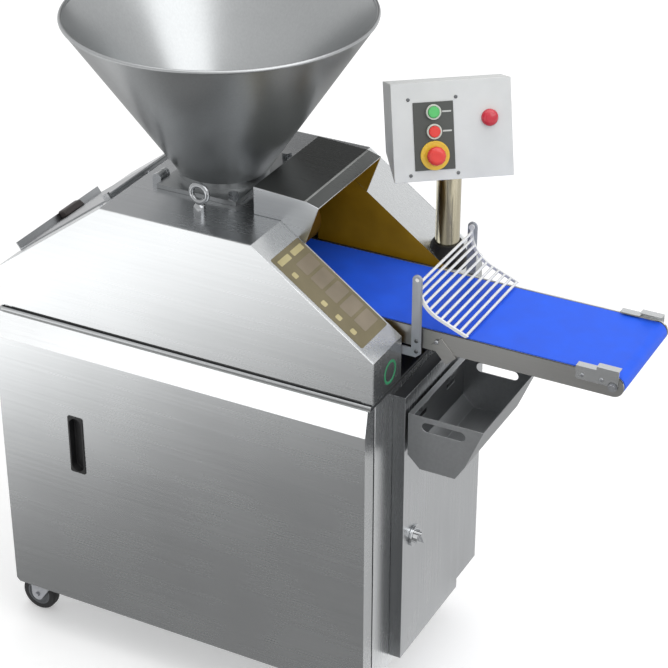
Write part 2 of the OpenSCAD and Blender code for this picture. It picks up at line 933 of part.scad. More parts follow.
module hopper() {
    knuckle = lug_gap / 2 - slip;
    color("silver")
    difference() {
        union() {
            translate([hopper_x, 0, 0]) rotate_extrude() {
                polygon([
                    [hopper_neck_r - hopper_wall, flange_z0],
                    [hopper_neck_r, flange_z0],
                    [hopper_neck_r, neck_z],
                    [hopper_r, hopper_top_z - rim_r],
                    [hopper_r - hopper_wall, hopper_top_z - rim_r],
                    [hopper_neck_r - hopper_wall, neck_z + hopper_wall / 2]
                ]);
                translate([hopper_r - rim_r, hopper_top_z - rim_r]) circle(rim_r);
            }
            difference() {
                block([flange_x0, -flange_w / 2, flange_z0], [flange_x1, flange_w / 2, flange_z1]);
                bar_z(hopper_x, 0, flange_z0 - cut, flange_z1 + cut, hopper_neck_r - hopper_wall);
            }
            for (s = [-1, 1]) {
                y = s * hopper_hinge_y;
                bar_y(hopper_axis_x, y - knuckle, y + knuckle, hopper_axis_z, lug_r - 1);
                block([hopper_axis_x, y - knuckle, flange_z0], [flange_x0 + cut, y + knuckle, flange_z1]);
            }
        }
        bar_y(hopper_axis_x, -flange_w, flange_w, hopper_axis_z, lug_pin_r + run_fit);
        for (s = [-1, 1])
            bar_z(flange_x1 - 2 * clamp_r, s * (flange_w / 2 - 2 * clamp_r), flange_z0 - cut, flange_z1 + cut,
                clamp_r + run_fit);
    }
}

// Captive clamp screws in the flange's right corners
module hopper_clamps() {
    color("silver")
    for (s = [-1, 1])
        translate([flange_x1 - 2 * clamp_r, s * (flange_w / 2 - 2 * clamp_r), 0]) {
            translate([0, 0, flange_z0]) cylinder(r = clamp_r, h = flange_t + 6);
            translate([0, 0, flange_z1]) cylinder(r = clamp_head_r, h = 12, $fn = 6);
        }
}

// Dividing unit

module chamber_block() {
    color("lightgray")
    difference() {
        union() {
            block([chamber_x0, -chamber_y, chamber_z0], [chamber_x1, chamber_y, chamber_z1]);
            block([chamber_x0, -plinth_y, deck_z], [plinth_x1, plinth_y, chamber_z0 + cut]);
            for (s = [-1, 1]) {
                y0 = s > 0 ? chamber_y - 20 : -chamber_y;
                block([chamber_x1 - cut, y0, drum_z - 25], [drum_x + 20, y0 + 20, drum_z + 25]);
            }
        }
        bar_x(chamber_x0 - cut, drum_x, 0, drum_z, ram_r + run_fit);
        bar_y(drum_x, -drum_l / 2 - 1, drum_l / 2 + 1, drum_z, drum_r + drum_gap);
        block([drum_x - piston_r - 2, -drum_l / 2 - 1, chamber_z0 - cut], [drum_x, drum_l / 2 + 1, drum_z]);
        bar_y(drum_x, -chamber_y - cut, chamber_y + cut, drum_z, drum_shaft_r + run_fit);
        bar_z(hopper_x, 0, drum_z, chamber_z1, throat_r);
        translate([hopper_x, 0, funnel_z])
            cylinder(r1 = throat_r, r2 = throat_top_r, h = chamber_z1 - funnel_z + cut / 4);
        block([chamber_x0 - cut, -lever_slot, deck_z - cut], [lever_slot_x1, lever_slot, drum_z]);
    }
}

module ram() {
    tail_x1 = drive_pin_x + ram_tail;
    tail_h = 2 * ram_r / 3;
    color("silver")
    difference() {
        union() {
            bar_x(tail_x1, ram_x1, 0, drum_z, ram_r);
            both_sides()
                block(
                    [ram_x0, lever_t / 2 + 2, drum_z - tail_h],
                    [tail_x1 + cut, lever_t / 2 + 2 + cheek_t, drum_z + tail_h]
                );
        }
        along_y(-ram_r, ram_r)
            translate([drive_pin_x, drum_z])
            stadium(2 * (drive_pin_r + pin_play), 2 * (drive_pin_r + pin_play) + 10);
    }
}

// Lever with its shaft and driving pin, leaning back at rest
module rocker_lever() {
    color("dimgray")
    translate([lever_x, 0, lever_z])
    rotate([0, -ram_swing, 0]) {
        along_y(-lever_t / 2, lever_t / 2) {
            circle(lever_w0);
            translate([0, lever_l]) circle(lever_w1);
            polygon([[-lever_w0 + 3, 0], [lever_w0 - 3, 0], [lever_w1, lever_l], [-lever_w1, lever_l]]);
        }
        bar_y(0, bearing_y0, case_y0 + shaft_in, 0, rocker_shaft_r);
        bar_y(0, -lever_t / 2 - cheek_t, lever_t / 2 + cheek_t, lever_l, drive_pin_r);
    }
}

module gear_case() {
    chamfer = 25;
    color("slategray")
    difference() {
        union() {
            along_y(case_y0, case_y1)
                polygon([
                    [case_x0 + chamfer, case_z0],
                    [case_x1 - chamfer, case_z0],
                    [case_x1, case_z0 + chamfer],
                    [case_x1, deck_z0],
                    [case_x0, deck_z0],
                    [case_x0, case_z0 + chamfer]
                ]);
            bar_y(lever_x, case_y0 - 8, case_y0 + cut, lever_z, rocker_shaft_r + 16);
        }
        bar_y(lever_x, case_y0 - 8 - cut, case_y0 + shaft_in + slip, lever_z, rocker_shaft_r + run_fit);
    }
}

// Outboard bearing of the rocker shaft, hung from the deck
module rocker_bearing() {
    color("slategray")
    difference() {
        union() {
            block(
                [lever_x - rocker_shaft_r - 12, bearing_y0, lever_z],
                [lever_x + rocker_shaft_r + 12, bearing_y0 + 26, deck_z0]
            );
            bar_y(lever_x, bearing_y0, bearing_y0 + 26, lever_z, rocker_shaft_r + 12);
        }
        bar_y(lever_x, bearing_y0 - cut, bearing_y0 + 26 + cut, lever_z, rocker_shaft_r + run_fit);
    }
}

module drive_motor() {
    rib_count = 9;
    fan_l = 46;
    body_x = case_x1 + motor_flange_t;
    rib_step = (motor_l - fan_l) / (rib_count + 1);
    terminal_x = body_x + 30;
    color("steelblue") {
        bar_x(case_x1, body_x, motor_y, lever_z, motor_flange_r);
        bar_x(body_x - cut, body_x + motor_l - fan_l, motor_y, lever_z, motor_r - 8);
        for (i = [1:rib_count])
            bar_x(body_x + i * rib_step - 2, body_x + i * rib_step + 2, motor_y, lever_z, motor_r);
        bar_x(body_x + motor_l - fan_l - cut, body_x + motor_l, motor_y, lever_z, motor_r);
        block(
            [terminal_x, motor_y - terminal_w / 2, lever_z - motor_r - terminal_w / 3],
            [terminal_x + terminal_l, motor_y + terminal_w / 2, lever_z - motor_r / 2]
        );
    }
}

module electrical_box() {
    color("lightgray")
    block(
        [cabinet_x1 - cabinet_l, frame_y1 - cabinet_d, cabinet_z],
        [cabinet_x1, frame_y1, cabinet_z + cabinet_h]
    );
}

module measuring_drum() {
    color("silver")
    difference() {
        union() {
            bar_y(drum_x, -drum_l / 2, drum_l / 2, drum_z, drum_r);
            bar_y(drum_x, -chamber_y - 6, chamber_y + 6, drum_z, drum_shaft_r);
        }
        bar_x(drum_x - drum_r - cut, drum_x - drum_r + pocket_d, 0, drum_z, piston_r + run_fit);
    }
}

// Piston at the floor of the drum's pocket
module drum_piston() {
    floor_x = drum_x - drum_r + pocket_d;
    color("whitesmoke")
    bar_x(floor_x - slip - piston_t, floor_x - slip, 0, drum_z, piston_r);
}

// Outlet conveyor

module loop(r) {
    translate([drive_x, roller_z]) circle(r);
    translate([tail_x, roller_z]) circle(r);
    translate([drive_x, roller_z - r]) square([tail_x - drive_x, 2 * r]);
}

// Scraper strip below the belt on two slanted arms
module belt_scraper() {
    arm_t = 3;
    arm_w = 28;
    arm_l = 47;
    arm_a = -48;
    arm_x = body_x1 + 78;
    arm_z = belt_z - 20;
    difference() {
        union() {
            both_sides()
                along_y(rail_y1, rail_y1 + arm_t)
                translate([arm_x, arm_z]) rotate(arm_a) translate([0, -arm_w / 2]) square([arm_l, arm_w]);
            translate([arm_x, 0, arm_z]) rotate([0, -arm_a, 0])
                block([arm_l - 4, -rail_y1 - arm_t, -arm_w / 2], [arm_l, rail_y1 + arm_t, arm_w / 2]);
        }
        block([body_x1, -rail_y1, belt_z - 2 * belt_r - 1], [tail_x, rail_y1, belt_z]);
    }
}

module conveyor_frame() {
    bed_z1 = belt_z - belt_t - slip;
    spacer_r = 9;
    color("lightgray")
    difference() {
        union() {
            both_sides() along_y(rail_y0, rail_y1) loop(belt_r);
            block([drive_x + 2 * belt_r, -rail_y0, bed_z1 - sheet], [tail_x - 2 * belt_r, rail_y0, bed_z1]);
            both_sides()
                for (x = [drum_x + 90, body_x1 - 30])
                    bar_y(x, rail_y1, channel_y, roller_z, spacer_r);
            belt_scraper();
        }
        for (x = [drive_x, tail_x])
            bar_y(x, -rail_y1 - cut, rail_y1 + cut, roller_z, journal_r + run_fit);
    }
}

// Bent clips at the tail of both rails, each with a flat strip beside it
module belt_clips() {
    clip_x1 = tail_x + belt_r / 2;
    lip = 14;
    color("whitesmoke")
    both_sides() {
        difference() {
            block([clip_x1 - clip_l, rail_y1, roller_z], [clip_x1, rail_y1 + rail_t / 2, belt_z + clip_h]);
            bar_y(tail_x, rail_y1 - cut, rail_y1 + rail_t, roller_z, journal_r + 2);
        }
        block(
            [clip_x1 - clip_l, rail_y1 - lip, belt_z + clip_h - rail_t / 2],
            [clip_x1, rail_y1 + cut, belt_z + clip_h]
        );
        block(
            [clip_x1 - clip_l - strip_l, rail_y1, roller_z],
            [clip_x1 - clip_l + cut, rail_y1 + rail_t / 2, belt_z + clip_h / 2]
        );
        block(
            [clip_x1 - clip_l - strip_l, rail_y1 - lip, belt_z + clip_h / 2 - rail_t / 2],
            [clip_x1 - clip_l, rail_y1 + cut, belt_z + clip_h / 2]
        );
    }
}

module conveyor_belt() {
    color("royalblue")
    along_y(-belt_w / 2, belt_w / 2)
    difference() {
        loop(belt_r);
        loop(belt_r - belt_t);
    }
}

module roller(x) {
    color("silver") {
        bar_y(x, -belt_w / 2, belt_w / 2, roller_z, roller_r);
        bar_y(x, -rail_y1, rail_y1, roller_z, journal_r);
    }
}

module drive_roller() {
    roller(drive_x);
}

module tail_roller() {
    roller(tail_x);
}

// Hand guard

// Point on the guard's centre line at distance s from its top
function guard_at(s) =
    let (turn = 90 - guard_slant, arc = guard_bend_r * turn * PI / 180)
    s < guard_drop ? [0, -s] :
    s < guard_drop + arc ?
        let (a = (s - guard_drop) / arc * turn)
        [guard_bend_r * (1 - cos(a)), -guard_drop - guard_bend_r * sin(a)] :
        let (l = s - guard_drop - arc)
        [
            guard_bend_r * (1 - cos(turn)) + l * sin(turn),
            -guard_drop - guard_bend_r * sin(turn) - l * cos(turn)
        ];
guard_len = guard_drop + guard_bend_r * (90 - guard_slant) * PI / 180 + guard_run;

module guard_posts() {
    foot_x0 = body_x1 - 18;
    color("silver")
    difference() {
        both_sides() {
            along_y(post_y0, post_y1) {
                translate([guard_post_x, guard_z]) circle(guard_w / 2);
                polygon([
                    [foot_x0, foot_z0],
                    [guard_post_x, foot_z0],
                    [guard_post_x + guard_w / 2, foot_z0 + foot_h / 2],
                    [guard_post_x + guard_w / 2, guard_z],
                    [guard_post_x - guard_w / 2, guard_z],
                    [guard_post_x - guard_w / 2, foot_z0 + foot_h],
                    [foot_x0, foot_z0 + foot_h]
                ]);
            }
            bar_y(foot_x0 + foot_h / 2, post_y1 - cut, channel_y, foot_z0 + foot_h / 2, foot_h / 3);
        }
        bar_y(guard_post_x, -channel_y, channel_y, guard_z, guard_pin_r + run_fit);
    }
}

module guard_grid() {
    steps = 24;
    path = [for (i = [0:steps]) guard_at(i * guard_len / steps)];
    top = [guard_post_x, guard_z];
    color("whitesmoke") {
        both_sides()
            along_y(bar_y0, bar_y1)
            translate(top) {
                circle(bar_w);
                polygon(concat(
                    [for (p = path) p + [bar_w / 2, bar_w / 3]],
                    [for (i = [steps:-1:0]) path[i] - [bar_w / 2, bar_w / 3]]
                ));
            }
        for (i = [1:rod_count]) {
            p = top + guard_at(i * guard_len / rod_count - rod_r);
            bar_y(p[0], -bar_y0 - cut, bar_y0 + cut, p[1], rod_r);
        }
        both_sides() bar_y(guard_post_x, bar_y1 - cut, post_y1, guard_z, guard_pin_r);
    }
}

// Doors

module front_door() {
    outline = [
        [door_y0, skirt_z],
        [door_y1, skirt_z],
        [door_y1, door_z1],
        [door_y0 + bevel_d, door_z1],
        [door_y0, bevel_z]
    ];
    hollow = inset(outline, sheet);
    color("gainsboro")
    difference() {
        along_x(door_x0, door_x1) polygon(outline);
        along_x(door_x0 + sheet, door_x1 - sheet)
            polygon([
                hollow[0],
                [door_y1 + cut, hollow[1][1]],
                [door_y1 + cut, hollow[2][1]],
                hollow[3],
                hollow[4]
            ]);
        for (x = [door_x0, door_x1])
            translate([x, 0, skirt_z]) rotate([0, 45, 0])
                cube([corner_cut * sqrt(2), 4 * body_d, corner_cut * sqrt(2)], center = true);
        along_y(door_y0 - cut, door_y0 + sheet + cut) translate(pull_mid) stadium(pull_w, pull_h);
        bar_z(pivot_x, pivot_y, skirt_z - cut, door_z1 + cut, pivot_r + run_fit);
    }
}

module pull_cup() {
    color("black")
    difference() {
        union() {
            along_y(door_y0 - pull_lip, door_y0)
                translate(pull_mid) stadium(pull_w + 2 * pull_lip, pull_h + 2 * pull_lip);
            along_y(door_y0 - pull_lip, door_y0 + pull_d) translate(pull_mid) stadium(pull_w, pull_h);
        }
        along_y(door_y0 - pull_lip - cut, door_y0 + pull_d - pull_wall)
            translate(pull_mid) stadium(pull_w - 2 * pull_wall, pull_h - 2 * pull_wall);
    }
}

// Side door's outline, drawn in by t on every side
module side_outline(t) {
    translate([side_y0 + t, side_z0 + t])
        square([side_w - notch_w - 2 * t, side_h - 2 * t]);
    translate([side_y0 + t, side_z0 + notch_h + t])
        square([side_w - 2 * t, side_h - notch_h - 2 * t]);
}

module side_door() {
    color("gainsboro")
    difference() {
        union() {
            difference() {
                along_x(side_x0, side_x1) side_outline(0);
                along_x(side_x0 - cut, side_x1 - sheet) side_outline(sheet);
            }
            for (z = hinge_zs) {
                z0 = z - knuckle_l / 2;
                z1 = z + knuckle_l / 2;
                bar_z(hinge_x, hinge_y, z0, z1, knuckle_r);
                block([hinge_x - 2, side_y1 - cut, z0], [hinge_x + 2, hinge_y, z1]);
            }
        }
        for (z = hinge_zs)
            bar_z(hinge_x, hinge_y, z - knuckle_l, z + knuckle_l, hinge_pin_r + run_fit);
        bar_x(side_x1 - sheet - cut, side_x1 + cut, latch_y, latch_z, latch_shaft_r + run_fit);
    }
}

// Quarter-turn latch: rose, boss with a wing grip, shaft and tongue
module latch_knob() {
    rose_h = 6;
    boss_r = 2 * latch_r / 3;
    boss_h = 9;
    grip_h = 18;
    grip_w = 9;
    grip_a = 30;
    rose_x = side_x1 + slip;
    color("silver") {
        bar_x(rose_x, rose_x + rose_h, latch_y, latch_z, latch_r);
        bar_x(rose_x, rose_x + rose_h + boss_h, latch_y, latch_z, boss_r);
        translate([rose_x + rose_h - cut, latch_y, latch_z])
            rotate([90, 0, 90]) linear_extrude(grip_h) rotate(grip_a) stadium(grip_w, 2 * latch_r - 6);
        bar_x(tongue_x - tongue_t, rose_x + cut, latch_y, latch_z, latch_shaft_r);
        block(
            [tongue_x - tongue_t, latch_y - latch_shaft_r - 2, latch_z - latch_shaft_r - 2],
            [tongue_x, latch_y + latch_shaft_r + 2, latch_z + tongue_l]
        );
    }
}

// Scrap tray

module tray_hooks() {
    color("silver")
    for (y = hook_ys) {
        block([side_x1, y - hook_w / 2, hook_z - 20], [side_x1 + 2, y + hook_w / 2, hook_z]);
        block([side_x1, y - hook_w / 2, hook_z - hook_t], [hook_x1, y + hook_w / 2, hook_z]);
        block(
            [hook_x1 - hook_t, y - hook_w / 2, hook_z - hook_t],
            [hook_x1, y + hook_w / 2, hook_z + hook_lip]
        );
    }
}

module scrap_tray() {
    color("dimgray")
    difference() {
        union() {
            difference() {
                along_y(tray_y0, tray_y1) polygon(tray_outline);
                along_y(tray_y0 + tray_t, tray_y1 - tray_t) polygon(inset(tray_hollow, tray_t));
            }
            block([tray_x0, tray_y0, tray_z1 - tray_t], [tray_x0 + tray_hem, tray_y1, tray_z1]);
        }
        along_y(tray_y0 - cut, tray_y1 + cut) translate([hand_x, hand_z]) stadium(hand_l, hand_h);
        for (y = hook_ys)
            block(
                [tray_x0 - cut, y - hook_w / 2 - 1, hook_z + slip - hook_slot_h],
                [tray_x0 + tray_t + cut, y + hook_w / 2 + 1, hook_z + slip]
            );
    }
}

// Control head

module control_post() {
    color("silver")
    difference() {
        bar_z(stand_px, stand_y, deck_z, stand_top, stand_r);
        bar_z(stand_px, stand_y, deck_z - cut, stand_top + cut, stand_r - post_wall);
    }
}

// Boot that closes the slope around the post, cut along the slope
module post_boot() {
    flare = [
        [stand_r + slip, -boot_r],
        [boot_r, -boot_r],
        [boot_r, 0],
        [stand_r + 7, boot_h - 6],
        [stand_r + 5, boot_h],
        [stand_r + slip, boot_h]
    ];
    color("black")
    difference() {
        translate([stand_px, stand_y, stand_slope_z]) rotate_extrude() polygon(flare);
        along_y(channel_y - cut, back_y + cut)
            polygon([
                [housing_x1 + boot_r, deck_z],
                [housing_x1 + boot_r, shoulder_z - boot_r * slope_r],
                [top_x1, top_z],
                [top_x1, deck_z]
            ]);
    }
}

// Places children in the control box: X along its face, -Y out of its face, Z up its face
module in_head() {
    translate([stand_px, stand_y, head_z])
        rotate([0, 0, head_yaw]) rotate([-head_tilt, 0, 0])
        translate([0, -stand_back, box_h / 2]) children();
}

// Outline of the control box in depth and height, drawn in by t
function box_side(t) = inset([
    [face_y + cover_t, -box_h / 2],
    [-face_y, -box_h / 2 + box_rise],
    [-face_y, box_h / 2],
    [face_y + cover_t, box_h / 2]
], t);

module control_box() {
    inner = box_side(box_t);
    color("lightgray")
    difference() {
        union() {
            in_head()
                difference() {
                    along_x(-box_w / 2, box_w / 2) polygon(box_side(0));
                    along_x(-box_w / 2 + box_t, box_w / 2 - box_t)
                        polygon([
                            [face_y, inner[0][1] - cover_t * box_rise / box_d],
                            inner[1],
                            inner[2],
                            [face_y, inner[3][1]]
                        ]);
                }
            intersection() {
                bar_z(stand_px, stand_y, head_z - stand_r, stand_top + box_t, stand_r + 3);
                in_head() along_x(-box_w / 2, box_w / 2) polygon(box_side(0));
            }
        }
        bar_z(stand_px, stand_y, head_z - 2 * stand_r, stand_top + slip, stand_r + run_fit);
    }
}

// Holes for the button stems and the lamp
module button_holes(y0, y1) {
    for (z = [button_step, 0, stop_z])
        bar_y(-button_x, y0, y1, z, stem_r + run_fit);
}

module control_cover() {
    color("lightgray")
    in_head()
    difference() {
        block([-box_w / 2, face_y, -box_h / 2], [box_w / 2, face_y + cover_t, box_h / 2]);
        button_holes(face_y - cut, face_y + cover_t + cut);
        bar_y(lamp_x, face_y - cut, face_y + cover_t + cut, lamp_z, stem_r + run_fit);
    }
}

// Button plate with the two fixed bezels
module button_plate() {
    plate_y = face_y - panel_t;
    color("dimgray")
    in_head()
    difference() {
        union() {
            block(
                [-button_x - plate_w / 2, plate_y, plate_mid_z - plate_h / 2],
                [-button_x + plate_w / 2, face_y, plate_mid_z + plate_h / 2]
            );
            for (z = [button_step, 0])
                difference() {
                    bar_y(-button_x, plate_y - bezel_h, plate_y + cut, z, bezel_r);
                    bar_y(-button_x, plate_y - bezel_h - cut, plate_y, z, cap_r + slip);
                }
        }
        button_holes(plate_y - cut, face_y + cut);
    }
}

module push_button(z) {
    cap_y = face_y - panel_t - button_travel - 0.5;
    cap_h = bezel_h + 2 - button_travel;
    in_head() {
        bar_y(-button_x, cap_y - cap_h, cap_y, z, cap_r);
        bar_y(-button_x, cap_y - cut, face_y + stem_l, z, stem_r);
    }
}

module green_button() {
    color("limegreen") push_button(button_step);
}

module red_button() {
    color("red") push_button(0);
}

module estop_collar() {
    collar_y = face_y - panel_t;
    color("gold")
    in_head()
    difference() {
        bar_y(-button_x, collar_y - collar_t, collar_y, stop_z, collar_r);
        bar_y(-button_x, collar_y - collar_t - cut, collar_y + cut, stop_z, stem_r + 3);
    }
}

module estop_button() {
    head_y = face_y - panel_t - collar_t - stop_travel - 0.5;
    head_h = 15;
    color("red")
    in_head()
    translate([-button_x, head_y, stop_z]) rotate([90, 0, 0]) {
        rotate_extrude()
            polygon([
                [0, 0],
                [stop_r - 4, 0],
                [stop_r, 4],
                [stop_r, 8],
                [stop_r - 2.5, 12],
                [stop_r - 7, head_h - 1],
                [0, head_h]
            ]);
        translate([0, 0, -stem_l - stop_travel]) cylinder(r = stem_r, h = stem_l + stop_travel + cut);
    }
}

module indicator_lamp() {
    color("crimson")
    in_head()
    translate([lamp_x, face_y, lamp_z]) rotate([90, 0, 0]) {
        rotate_extrude()
            polygon([
                [0, 0],
                [lamp_r, 0],
                [lamp_r, 4],
                [lamp_r - 2, 8],
                [lamp_r - 6, 11],
                [0, 13]
            ]);
        translate([0, 0, -stem_l]) cylinder(r = stem_r, h = stem_l + cut);
    }
}

// Castors

// Swivelling fork with its axle; the wheel trails towards -X
module castor_fork(x, y) {
    leg_y = wheel_w / 2 + fork_gap;
    color("silver")
    translate([x, y, 0])
    difference() {
        union() {
            bar_z(0, 0, fork_z0, head_top, swivel_r);
            block([-trail - 16, -leg_y - fork_t, fork_z0], [14, leg_y + fork_t, fork_z1]);
            for (s = [-1, 1]) {
                y0 = s > 0 ? leg_y : -leg_y - fork_t;
                along_y(y0, y0 + fork_t) {
                    translate([-trail, wheel_r]) circle(14);
                    polygon([
                        [-trail - 14, wheel_r],
                        [-trail + 12, wheel_r - 7],
                        [14, fork_z0],
                        [14, fork_z1],
                        [-trail - 16, fork_z1]
                    ]);
                }
            }
            bar_y(-trail, -leg_y - fork_t - 4, leg_y + fork_t + 4, wheel_r, axle_r);
        }
        bar_z(0, 0, fork_z0 - cut, head_top + cut, king_r + run_fit);
    }
}

// Wheel with its tyre around the hub
module castor_wheel(x, y) {
    hub_y = wheel_w / 2 + 1;
    tyre_y = wheel_w / 2;
    color("black")
    translate([x - trail, y, wheel_r]) rotate([90, 0, 0]) {
        rotate_extrude()
            polygon([
                [axle_r + run_fit, -hub_y],
                [hub_r - 6, -hub_y],
                [hub_r, -tyre_y + 4],
                [hub_r, -tyre_y],
                [wheel_r - 5, -tyre_y],
                [wheel_r, -tyre_y + 6],
                [wheel_r, tyre_y - 6],
                [wheel_r - 5, tyre_y],
                [hub_r, tyre_y],
                [hub_r, tyre_y - 4],
                [hub_r - 6, hub_y],
                [axle_r + run_fit, hub_y]
            ]);
    }
}

module castor_fork_fl() {
    castor_fork(castor_x[0], castor_y[0]);
}

module castor_wheel_fl() {
    castor_wheel(castor_x[0], castor_y[0]);
}

module castor_fork_fr() {
    castor_fork(castor_x[1], castor_y[0]);
}

module castor_wheel_fr() {
    castor_wheel(castor_x[1], castor_y[0]);
}

module castor_fork_bl() {
    castor_fork(castor_x[0], castor_y[1]);
}

module castor_wheel_bl() {
    castor_wheel(castor_x[0], castor_y[1]);
}

module castor_fork_br() {
    castor_fork(castor_x[1], castor_y[1]);
}

module castor_wheel_br() {
    castor_wheel(castor_x[1], castor_y[1]);
}

floor_pan();
corner_posts();
deck_plate();
left_panel();
back_panel();
right_panel();
door_hinges();
castor_plates();
housing_front();
housing_back();
housing_left();
housing_top();
near_cheek();
far_cheek();
outlet_hood();
control_post();
post_boot();
conveyor_frame();
belt_clips();
conveyor_belt();
guard_posts();
lifting_eye();
chamber_block();
gear_case();
rocker_bearing();
drive_motor();
electrical_box();
front_door();
pull_cup();
side_door();
tray_hooks();
latch_knob();
scrap_tray();
hopper();
hopper_clamps();
control_box();
control_cover();
button_plate();
estop_collar();
indicator_lamp();
green_button();
red_button();
estop_button();
guard_grid();
left_hatch();
hatch_handle();
ram();
rocker_lever();
measuring_drum();
drum_piston();
drive_roller();
tail_roller();
castor_fork_fl();
castor_fork_fr();
castor_fork_bl();
castor_fork_br();
castor_wheel_fl();
castor_wheel_fr();
castor_wheel_bl();
castor_wheel_br();
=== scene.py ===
import json
import math

import bmesh
import bpy
from mathutils import Matrix, Vector


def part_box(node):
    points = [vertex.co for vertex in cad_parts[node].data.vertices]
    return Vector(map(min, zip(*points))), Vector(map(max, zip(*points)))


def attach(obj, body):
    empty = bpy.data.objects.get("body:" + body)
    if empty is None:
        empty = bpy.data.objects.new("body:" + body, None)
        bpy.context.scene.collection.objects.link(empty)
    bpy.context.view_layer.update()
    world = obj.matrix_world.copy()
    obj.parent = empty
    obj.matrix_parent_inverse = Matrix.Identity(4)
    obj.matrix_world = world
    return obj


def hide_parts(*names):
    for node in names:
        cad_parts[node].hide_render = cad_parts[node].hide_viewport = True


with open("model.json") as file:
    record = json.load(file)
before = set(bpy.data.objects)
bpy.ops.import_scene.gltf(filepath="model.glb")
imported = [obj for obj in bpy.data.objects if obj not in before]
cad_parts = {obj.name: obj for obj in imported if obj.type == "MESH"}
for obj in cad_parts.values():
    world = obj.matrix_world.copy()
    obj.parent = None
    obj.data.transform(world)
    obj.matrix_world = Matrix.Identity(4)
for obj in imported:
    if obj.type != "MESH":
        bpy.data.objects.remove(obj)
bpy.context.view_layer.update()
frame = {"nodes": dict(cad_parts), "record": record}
nodes = frame["nodes"]
mm = 0.001
bodyOf = {node: body for body, parts in frame["record"]["behaviour"]["bodies"].items() for node in parts}
slotOf = {part["node"]: part["material_slot"] for part in frame["record"]["subparts"]}
print("frame loaded:", len(nodes), "nodes")


def linear(code):  # sRGB hex to linear RGBA
    parts = [int(code[i:i + 2], 16) / 255 for i in (1, 3, 5)]
    return [c / 12.92 if c <= 0.04045 else ((c + 0.055) / 1.055) ** 2.4 for c in parts] + [1.0]


def addNode(tree, kind, settings=None, links=None):  # one node with its settings and links
    node = tree.nodes.new(kind)
    for key, value in (settings or {}).items():
        if isinstance(key, str) and hasattr(node, key):
            setattr(node, key, value)
        else:
            node.inputs[key].default_value = value
    for key, source in (links or {}).items():
        tree.links.new(source, node.inputs[key])
    return node


def startMaterial(name):
    material = bpy.data.materials.new(name)
    material.use_nodes = True
    tree = material.node_tree
    tree.nodes.clear()
    output = addNode(tree, "ShaderNodeOutputMaterial")
    shader = addNode(tree, "ShaderNodeBsdfPrincipled")
    tree.links.new(shader.outputs[0], output.inputs[0])
    place = addNode(tree, "ShaderNodeTexCoord").outputs["Object"]
    return material, tree, shader, place


patchWide = {"steel": 0.22, "moulded": 0.06}  # width of the soft uneven patches, in metres


def brushedSteel(name, light, dark, grain, rough, streakMm=6.0, longMm=420, spread=0.03, bump=0.001):
    # stainless sheet ground with a belt: long fine streaks along one axis, soft cloudy handling marks
    # real grit lines are about 0.2 mm, drawn coarser here so that they show
    material, tree, shader, place = startMaterial(name)
    scale = [1 / (longMm * mm) if axis == grain else 1 / (streakMm * mm) for axis in "xyz"]
    drawn = addNode(tree, "ShaderNodeMapping", {"Scale": scale}, {"Vector": place})
    streak = addNode(tree, "ShaderNodeTexNoise", {"Scale": 1.0, "Detail": 1.0, "Roughness": 0.4},
                     {"Vector": drawn.outputs[0]})
    cloud = addNode(tree, "ShaderNodeTexNoise", {"Scale": 1 / patchWide["steel"], "Detail": 2.0},
                    {"Vector": place})
    both = addNode(tree, "ShaderNodeMath", {"operation": "MULTIPLY_ADD", 1: 0.6},
                   {0: streak.outputs[0], 2: cloud.outputs[0]})
    reach = {"From Min": 0.45, "From Max": 1.15}  # where the mixed noise lies
    tone = addNode(tree, "ShaderNodeMapRange", reach, {"Value": both.outputs[0]})
    colour = addNode(tree, "ShaderNodeMix", {"data_type": "RGBA", 6: linear(dark), 7: linear(light)},
                     {0: tone.outputs[0]})
    gloss = addNode(tree, "ShaderNodeMapRange",
                    {**reach, "To Min": rough - spread / 2, "To Max": rough + spread / 2},
                    {"Value": both.outputs[0]})
    relief = addNode(tree, "ShaderNodeBump", {"Strength": bump, "Distance": 0.0003},
                     {"Height": streak.outputs[0]})
    shader.inputs["Metallic"].default_value = 1.0
    tree.links.new(colour.outputs[2], shader.inputs["Base Color"])
    tree.links.new(gloss.outputs[0], shader.inputs["Roughness"])
    tree.links.new(relief.outputs[0], shader.inputs["Normal"])
    return material


def moulded(name, base, shade, rough, grainMm, bump, coat=0.0, metallic=0.0, specular=0.5):
    # moulded, printed or sprayed surface: fine grain, slightly uneven tone and gloss
    material, tree, shader, place = startMaterial(name)
    grain = addNode(tree, "ShaderNodeTexNoise", {"Scale": 1 / (grainMm * mm), "Detail": 2.0},
                    {"Vector": place})
    cloud = addNode(tree, "ShaderNodeTexNoise", {"Scale": 1 / patchWide["moulded"], "Detail": 3.0},
                    {"Vector": place})
    reach = {"From Min": 0.3, "From Max": 0.7}  # where the noise lies
    tone = addNode(tree, "ShaderNodeMapRange", reach, {"Value": cloud.outputs[0]})
    colour = addNode(tree, "ShaderNodeMix", {"data_type": "RGBA", 6: linear(shade), 7: linear(base)},
                     {0: tone.outputs[0]})
    gloss = addNode(tree, "ShaderNodeMapRange", {**reach, "To Min": rough - 0.05, "To Max": rough + 0.05},
                    {"Value": cloud.outputs[0]})
    relief = addNode(tree, "ShaderNodeBump", {"Strength": bump, "Distance": 0.0002},
                     {"Height": grain.outputs[0]})
    shader.inputs["Metallic"].default_value = metallic
    shader.inputs["Coat Weight"].default_value = coat
    shader.inputs["Specular IOR Level"].default_value = specular
    tree.links.new(colour.outputs[2], shader.inputs["Base Color"])
    tree.links.new(gloss.outputs[0], shader.inputs["Roughness"])
    tree.links.new(relief.outputs[0], shader.inputs["Normal"])
    return material


